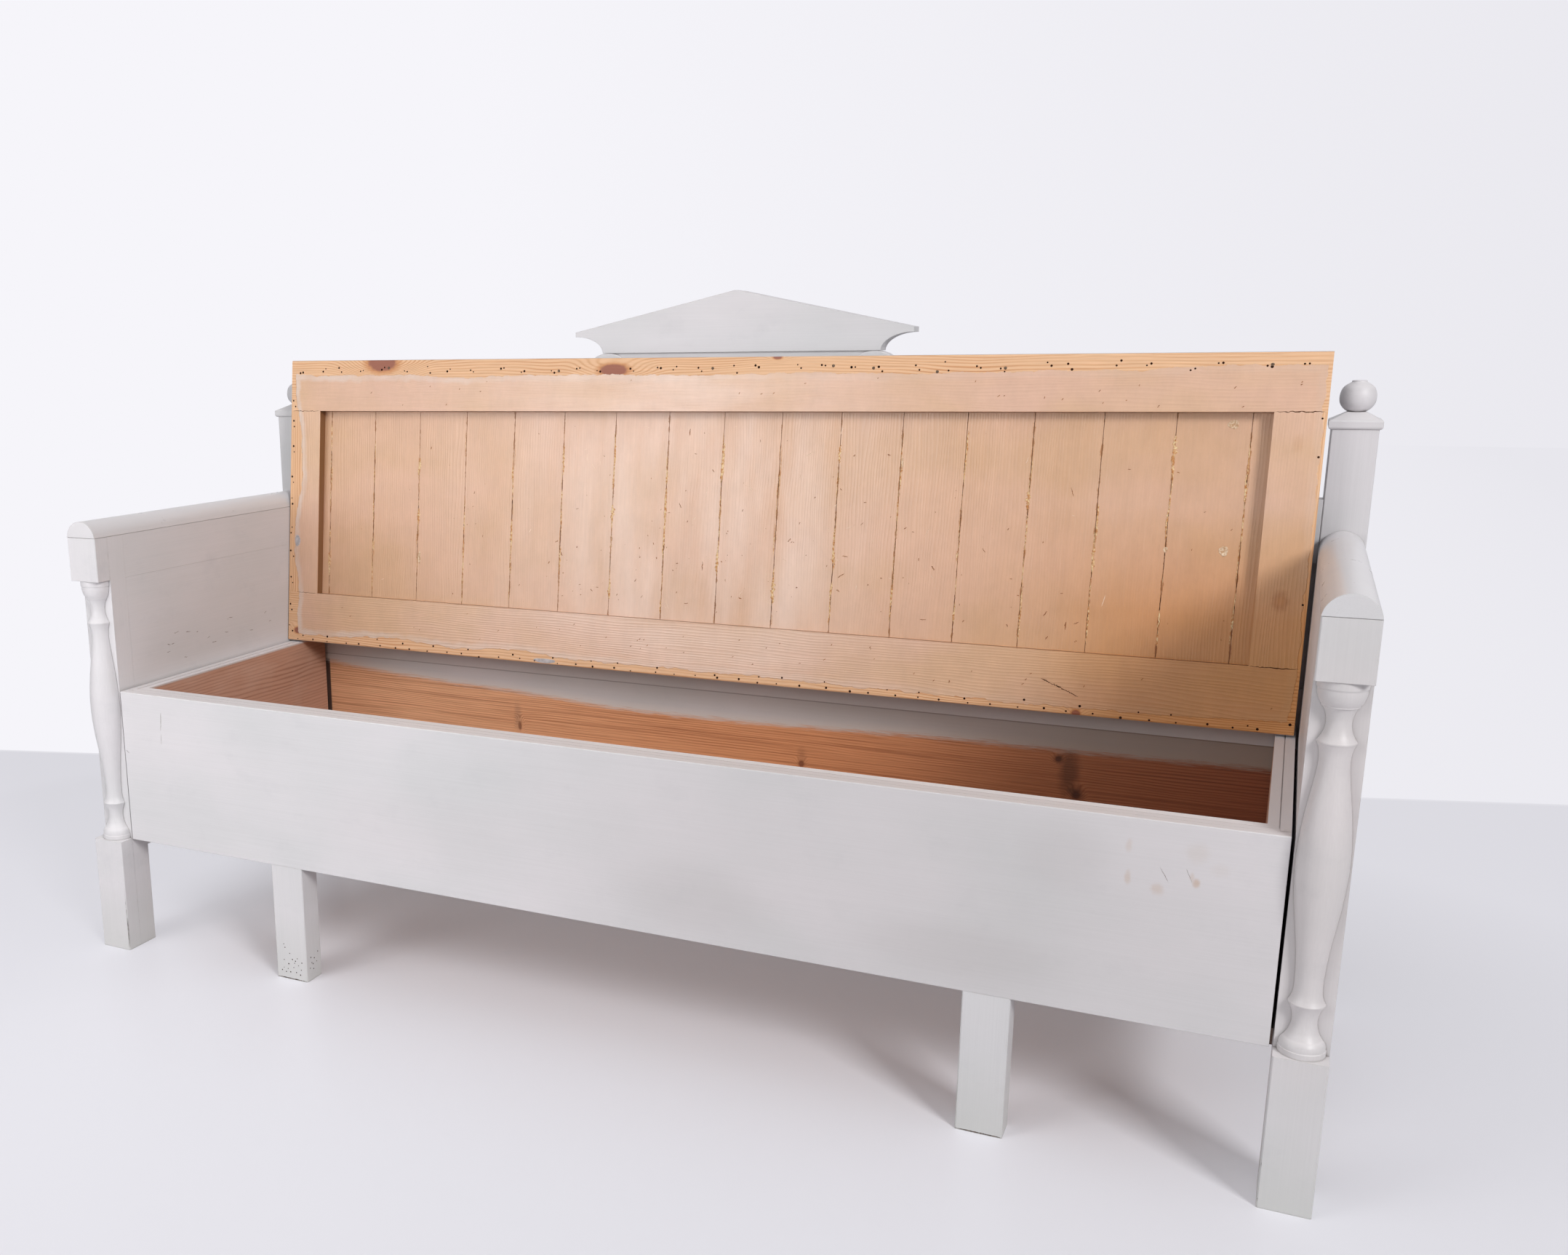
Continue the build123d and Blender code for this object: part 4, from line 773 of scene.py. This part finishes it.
HEAD_PROFILE = ((0, HIDDEN), (1.0, HIDDEN), (1.0, 0.25), (0.85, 0.5), (0.4, 0.6), (0, 0.6))
HEADS = ((-665, 523), (-311, 516), (-25, 519), (180, 522), (245, 518), (345, 512), (447, 517), (811, 520))
HEAD_RADIUS = 2.4
nail_heads = spots(HEADS, np.full(len(HEADS), HEAD_RADIUS), HEAD_PROFILE, wobble=0.05)
fix("nail_heads", nail_heads, LID_FRAME_FACE, iron_nail, "lid")

# Runs of stopping beside every joint, a few wide, most thin.
SEAM_RUNS = 12
seam_x = LID_FIRST_SEAM + LID_BOARD_W * np.repeat(np.arange(LID_BOARDS + 1), SEAM_RUNS)
field_high = np.interp(seam_x, ALONG, (LID_FIELD_HIGH_LEFT, LID_FIELD_HIGH_RIGHT))
low = RANDOM.uniform(LID_FIELD_LOW + 2, field_high - 70)
length = RANDOM.uniform(14, 66, len(seam_x))
beside = seam_x + RANDOM.normal(0, 1.0, len(seam_x))
half = RANDOM.gamma(1.5, 0.55, len(seam_x)).clip(0.25, 3.2)
runs = beads(np.c_[beside, low], np.c_[beside, low + length], half, 0.7)
fix("seam_stopping", runs, LID_FIELD_FACE, stopping, "lid")

# Joints between rails and stiles, opened a little, and a shake in the lower rail: start, end and
# half width.
FRAME_CRACKS = (
    ((-884, LID_FIELD_HIGH_LEFT), (-820, LID_FIELD_HIGH_LEFT), 0.55),
    ((820, LID_FIELD_HIGH_RIGHT), (884, LID_FIELD_HIGH_RIGHT), 0.75),
    ((820, LID_FIELD_LOW), (884, LID_FIELD_LOW), 0.8),
    ((-868, LID_FIELD_LOW), (-820, LID_FIELD_LOW), 0.4),
    ((535, 52), (552, 45), 0.8),
    ((550, 46), (572, 37), 1.0),
    ((570, 38), (592, 28), 0.8),
)
cracks = beads(*zip(*FRAME_CRACKS), 0.12, stray=0.6)
fix("frame_joint_cracks", cracks, LID_FRAME_FACE, old_dirt, "lid")

# Open stretches of the board joints.
OPEN_JOINTS = 3
open_x = LID_FIRST_SEAM + LID_BOARD_W * np.repeat(np.arange(LID_BOARDS + 1), OPEN_JOINTS)
open_low = RANDOM.uniform(LID_FIELD_LOW + 2, 330, len(open_x))
open_high = open_low + RANDOM.uniform(30, 110, len(open_x))
opened = beads(np.c_[open_x, open_low], np.c_[open_x, open_high], np.full(len(open_x), 0.6), 0.1, stray=0.3)
fix("open_board_joints", opened, LID_FIELD_FACE, old_dirt, "lid")

FLAKE_PROFILE = ((0, HIDDEN), (1.05, HIDDEN), (1.05, 0.0), (0.92, 0.7), (0.78, 0.25), (0, 0.12))
FLAKES = ((768, 438), (771, 257), (693, 255), (296, 372), (-600, 176))
FLAKE_SIZES = ((7, 6), (6, 7), (3, 4), (2, 7), (3, 11))
flakes = spots(FLAKES, FLAKE_SIZES, FLAKE_PROFILE, sides=40, wobble=0.1)
fix("lifted_paint_flakes", flakes, LID_FIELD_FACE, ground_coat, "lid")

DAUB_PROFILE = ((0, HIDDEN), (1.0, HIDDEN), (1.0, 0.0), (0.9, 0.12), (0, 0.15))
DAUBS, DAUB_SIZES = ((-867, 195), (-318, 6)), ((6, 11), (22, 4))
daubs = spots(DAUBS, DAUB_SIZES, DAUB_PROFILE, sides=32, wobble=0.06)
fix("grey_daub", daubs, LID_FRAME_FACE, grey_daub, "lid")

# Short scuffs, most of them near the middle.
SCUFFS = 46
scuff_at = np.c_[RANDOM.normal(60, 260, SCUFFS), RANDOM.uniform(110, 430, SCUFFS)]
scuff_turn = RANDOM.uniform(0, pi, SCUFFS)
scuff_run = RANDOM.uniform(4, 20, (SCUFFS, 1)) * np.c_[np.cos(scuff_turn), np.sin(scuff_turn)]
scuffs = beads(scuff_at, scuff_at + scuff_run, np.full(SCUFFS, 0.5), 0.08, 10)
fix("pale_scuffs", scuffs, LID_FIELD_FACE, pale_scuff, "lid")

# ---- Pieces on the grey paint -----------------------------------------------------------------
# Worm holes at the foot of the left box leg, on its front and on its inner side: near-black discs, their
# dark the painted shade of the holes.
WORM_HOLES = (
    *((-20, 14), (-16, 19), (-12, 12), (-8, 18), (-3, 13), (4, 22), (9, 14), (14, 27), (-15, 33), (2, 36)),
    *((17, 11), (6, 30), (8, 34), (12, 39), (-14, 61), (-12, 55), (-3, 46), (21, 33), (-6, 27), (19, 20)),
)
SIDE_WORM_HOLES = (
    *((-288, 22), (-283, 30), (-279, 18), (-276, 36)),
    *((-270, 28), (-285, 40), (-266, 44), (-280, 27)),
)
for name, places, face in (
    ("leg_worm_holes", WORM_HOLES, LEG_FACE),
    ("leg_side_worm_holes", SIDE_WORM_HOLES, LEG_SIDE_FACE),
):
    worm = spots(places, RANDOM.uniform(0.6, 1.1, len(places)), HOLE_PROFILE)
    fix(name, worm, face, rust_and_shade_hole, "box")

# Lines on the grey paint, each with a start, an end and a half width: dirt in the joints of the
# rim, scratches on the box front, dark lines along the bottom of the box legs, and knocks low on
# the front feet.
RIM_LINES = (
    ((-872, -271.5), (872, -271.5), 0.3),
    ((-880, -284.5), (880, -284.5), 0.18),
    ((-873, -270), (-873, 244), 0.2),
    ((873, -270), (873, 244), 0.18),
    ((-886, -279.5), (-873, -279.5), 0.5),
    ((873, -279.5), (885.5, -279.5), 0.6),
)
SCRATCHES = (
    ((750, 403), (761, 385), 0.35),
    ((779, 405), (787, 388), 0.3),
    ((-800, 432), (-803, 400), 0.6),
    ((-803, 396), (-804, 376), 0.35),
    ((-884, 358), (-877, 353), 0.5),
)
LEG_SOLES = (((-588, 1.5), (-528, 1.5), 0.9), ((528, 1.5), (588, 1.5), 0.9))
FOOT_MARKS = (
    ((-949.5, 2.6), (-890.5, 2.6), 0.8),
    ((890.5, 2.6), (949.5, 2.6), 0.9),
    ((891.2, 62), (893.2, 40), 0.6),
    ((891.5, 14), (892.0, 8), 0.8),
    ((945.5, 6.5), (948.5, 8.5), 0.8),
    ((-891.5, 96), (-891.2, 4), 0.6),
    ((-926, 4), (-925, 9), 0.7),
)
for name, lines, height, stations, stray, face, finish, body in (
    ("rim_joint_lines", RIM_LINES, 0.08, 160, 0.35, RIM_FACE, joint_dirt, "box"),
    ("front_scratches", SCRATCHES, 0.08, 30, 0.5, FRONT_FACE, joint_dirt, "box"),
    ("leg_sole_dark_lines", LEG_SOLES, 0.06, 40, 0.05, FRONT_FACE, dark_low_marks, "box"),
    ("foot_knocks", FOOT_MARKS, 0.05, 30, 0.3, FOOT_FACE, dark_low_marks, "carcass"),
):
    marks = beads(*zip(*lines), height, stations=stations, stray=stray)
    fix(name, marks, face, finish, body)

# Rubs on the inner face of the left end, beside the seat, and knocks on the foot below it.
RUBS = 16
rub_at = np.c_[RANDOM.uniform(-190, 120, RUBS), RANDOM.uniform(478, 540, RUBS)]
FOOT_SIDE_MARKS = (
    ((-320, 2.6), (-260, 2.6), 0.8),
    ((-321.5, 60), (-321.2, 4), 0.5),
    ((-300, 3), (-296, 12), 1.0),
    ((-303, 4), (-299, 9), 0.8),
    ((-306, 74), (-304, 76), 0.8),
)
side_marks = beads(*zip(*FOOT_SIDE_MARKS), 0.05, stations=30, stray=0.3)
fix("foot_side_knocks", side_marks, FOOT_SIDE_FACE, dark_low_marks, "carcass")
rub_run = np.c_[RANDOM.uniform(2, 14, RUBS), RANDOM.normal(0, 2, RUBS)]
rubs = beads(rub_at, rub_at + rub_run, np.full(RUBS, 0.6), 0.06, 12)
fix("end_rubs", rubs, END_FACE, joint_dirt, "carcass")

# ---- Dents in the salmon paint ----------------------------------------------------------------
# Dents and scores that show the brown below, most of them low and near the middle of the field.
DENTS = 150
dent_at = np.c_[RANDOM.normal(120, 330, DENTS).clip(-790, 780), 108 + 320 * RANDOM.beta(1.1, 1.7, DENTS)]
dent_turn = RANDOM.uniform(0, pi, DENTS)
dent_run = RANDOM.gamma(1.6, 2.6, (DENTS, 1)).clip(1.2, 16) * np.c_[np.cos(dent_turn), np.sin(dent_turn)]
dents = beads(dent_at, dent_at + dent_run, RANDOM.uniform(0.4, 1.0, DENTS), 0.06, 10)
fix("paint_dents", dents, LID_FIELD_FACE, bruise, "lid")

# Specks along the middles of the lid's rails, more on the lower one than on the upper.
SPECKS = 70
RAIL_MIDDLES, SHARES = (54, 478), (0.7, 0.3)
speck_at = np.c_[RANDOM.uniform(-800, 860, SPECKS), RANDOM.choice(RAIL_MIDDLES, SPECKS, p=SHARES)]
speck_at[:, 1] += RANDOM.uniform(-24, 24, SPECKS)
specks = beads(speck_at, speck_at + RANDOM.uniform(1, 4, (SPECKS, 2)), np.full(SPECKS, 0.7), 0.06, 10)
fix("frame_specks", specks, LID_FRAME_FACE, bruise, "lid")

# ---- Camera -----------------------------------------------------------------------------------
LENS = 33.011
CAMERA_AT = (0.85077, -2.06599, 1.01569)
YAW, PITCH, ROLL = radians(27.0), radians(-13.343), radians(-0.7517)
SHIFT = (0.14221, 0.03906)


def aim(yaw, pitch, roll):
    """A camera's turn: level right and up vectors of a yaw and pitch, spun by the roll."""
    ahead = Vector((-sin(yaw) * cos(pitch), cos(yaw) * cos(pitch), sin(pitch)))
    right = Vector((cos(yaw), sin(yaw), 0))
    up = right.cross(ahead)
    spun_right = cos(roll) * right + sin(roll) * up
    spun_up = cos(roll) * up - sin(roll) * right
    return Matrix((spun_right, spun_up, -ahead)).transposed().to_quaternion()


def stand(name, data, place, turn):
    """A lamp or a camera in the scene, at a place and with a turn."""
    made = bpy.data.objects.new(name, data)
    made.location = place
    made.rotation_mode = "QUATERNION"
    made.rotation_quaternion = turn
    bpy.context.scene.collection.objects.link(made)
    return made


lens = bpy.data.cameras.new("camera")
lens.sensor_width, lens.lens = 36.0, LENS
lens.shift_x, lens.shift_y = SHIFT
bpy.context.scene.camera = stand("camera", lens, CAMERA_AT, aim(YAW, PITCH, ROLL))

# ---- Studio -----------------------------------------------------------------------------------
SOFT_BOXES = (   # name, place, what it points at, side in metres, watts
    ("soft_box_right", (4.4, -3.4, 3.4), (0.0, 0.0, 0.5), 1.5, 216.0),
    ("soft_box_above", (0.2, -1.3, 3.5), (0.0, -0.2, 0.3), 2.0, 14.0),
    ("soft_box_left", (-1.15, -2.35, 1.35), (0.0, 0.0, 0.6), 1.0, 18.5),
    ("soft_box_low", (-1.6, -1.7, 1.0), (0.0, 0.0, 0.4), 1.0, 7.8),
)
for name, place, target, size, watts in SOFT_BOXES:
    lamp = bpy.data.lights.new(name, "AREA")
    lamp.shape, lamp.size, lamp.energy = "SQUARE", size, watts
    stand(name, lamp, place, (Vector(target) - Vector(place)).to_track_quat("-Z", "Y"))

ROOM_LIGHT = 0.23
BACKDROP_LEFT, BACKDROP_RIGHT = "#F6F5FA", "#E8E7ED"
world = bpy.data.worlds.new("studio")
bpy.context.scene.world = world
world.use_nodes = True
sky = world.node_tree
sky.nodes.clear()
# The backdrop is brightest to the left of the lens and falls off to the right. Mirror-like
# reflections see it too; everything else is lit by the dimmer room.
heading = node(sky, "SeparateXYZ", {0: node(sky, "TexCoord").outputs["Generated"]})
side = node(sky, "MapRange", {"Value": heading.outputs[0], "From Min": -0.5, "From Max": 0.25})
pale = coated(sky, linear(BACKDROP_LEFT), (side.outputs[0], BACKDROP_RIGHT))
rays = node(sky, "LightPath").outputs
plain = node(sky, "Math", {0: rays["Is Camera Ray"], 1: rays["Is Glossy Ray"]}, operation="MAXIMUM")
room = node(sky, "Background", {"Color": linear("#FFFFFF"), "Strength": ROOM_LIGHT})
backdrop = node(sky, "Background", {"Color": pale, "Strength": 1.0})
both = node(sky, "MixShader", {0: plain.outputs[0], 1: room.outputs[0], 2: backdrop.outputs[0]})
node(sky, "OutputWorld", {0: both.outputs[0]})

# The floor's paint ends at the foot of the far wall, a slanting line on the ground, in metres.
WALL_FOOT, WALL_SLANT = 1.181, 0.3136
FLOOR_NEAR, FLOOR_FAR, FLOOR_LIT = "#E8E7ED", "#FAF9FF", "#E2E1E8"
FLOOR_REACH = 14.0


def studio_floor_paint(name):
    """Satin white floor paint. It gives the eye a pale, softly shaded floor that lightens away
    from the bench and turns into the bright backdrop behind the foot of the wall. The lightening
    is painted light: the paint grows paler towards the wall, and for the lens alone the floor
    glows away from the bench and to the left of it."""
    made, tree = start(name)
    seen = node(tree, "TexCoord").outputs["Object"]
    apart = node(tree, "SeparateXYZ", {0: seen}).outputs
    line = node(tree, "Math", {0: apart[0], 1: WALL_SLANT, 2: WALL_FOOT}, operation="MULTIPLY_ADD")
    past = node(tree, "Math", {0: apart[1], 1: line.outputs[0]}, operation="SUBTRACT").outputs[0]
    round_bench = node(tree, "VectorMath", {0: seen, 1: (1, 1.5, 0)}, operation="MULTIPLY")
    far = node(tree, "VectorMath", {0: round_bench.outputs[0]}, operation="LENGTH").outputs["Value"]
    ramps = []
    for value, first, last, least, most in (
        (past, 0.0, 0.02, 0.0, 1.0),           # beyond the foot of the wall
        (past, -3.0, 0.0, 0.0, 1.0),           # paler up to the wall: painted light
        (apart[0], -1.5, 2.5, 0.0, 1.0),       # along the wall, left to right
        (far, 0.7, 1.9, 0.1, 0.8),             # painted light away from the bench
        (apart[0], -0.6, -1.05, 0.0, 0.75),    # painted light to the left of the bench
    ):
        rise = {"From Min": first, "From Max": last, "To Min": least, "To Max": most}
        ramps.append(node(tree, "MapRange", {"Value": value, **rise}).outputs[0])
    beyond, up_to, along_wall, away, leftward = ramps

    ground = coated(tree, linear(FLOOR_NEAR), (up_to, FLOOR_FAR))
    wall = coated(tree, linear(BACKDROP_LEFT), (along_wall, BACKDROP_RIGHT))
    lit = node(tree, "Mix", {"Factor": beyond, 6: linear(FLOOR_LIT), 7: wall}, data_type="RGBA")
    glow = node(tree, "Emission", {"Color": lit.outputs[2], "Strength": 1.0}).outputs[0]
    satin = {"Base Color": ground, "Roughness": 0.35, "Specular IOR Level": 0.3}
    paint = node(tree, "BsdfPrincipled", satin).outputs[0]
    # Painted light: for the lens the floor glows away from the bench and to its left, and past the wall's
    # foot it shows the backdrop.
    painted_floor_light = node(tree, "Math", {0: away, 1: leftward}, operation="MAXIMUM").outputs[0]
    painted_floor_light = node(tree, "Math", {0: painted_floor_light, 1: beyond}, operation="MAXIMUM").outputs[0]
    direct = node(tree, "LightPath").outputs["Is Camera Ray"]
    shown = node(tree, "Math", {0: direct, 1: painted_floor_light}, operation="MULTIPLY").outputs[0]
    mixed = node(tree, "MixShader", {0: shown, 1: paint, 2: glow})
    node(tree, "OutputMaterial", {"Surface": mixed.outputs[0]})
    return made


def studio_floor(name, finish, reach):
    """A flat floor: the four corners of a square reach metres to each side, at height 0."""
    mesh = bpy.data.meshes.new(name)
    corners = np.array([(-1, -1), (1, -1), (1, 1), (-1, 1)]) * reach
    mesh.from_pydata(np.c_[corners, np.zeros(4)].tolist(), [], [(0, 1, 2, 3)])
    mesh.materials.append(finish)
    made = bpy.data.objects.new(name, mesh)
    bpy.context.scene.collection.objects.link(made)


studio_floor("studio_floor", studio_floor_paint("studio_floor_paint"), FLOOR_REACH)

bpy.context.scene.view_settings.view_transform = "Standard"
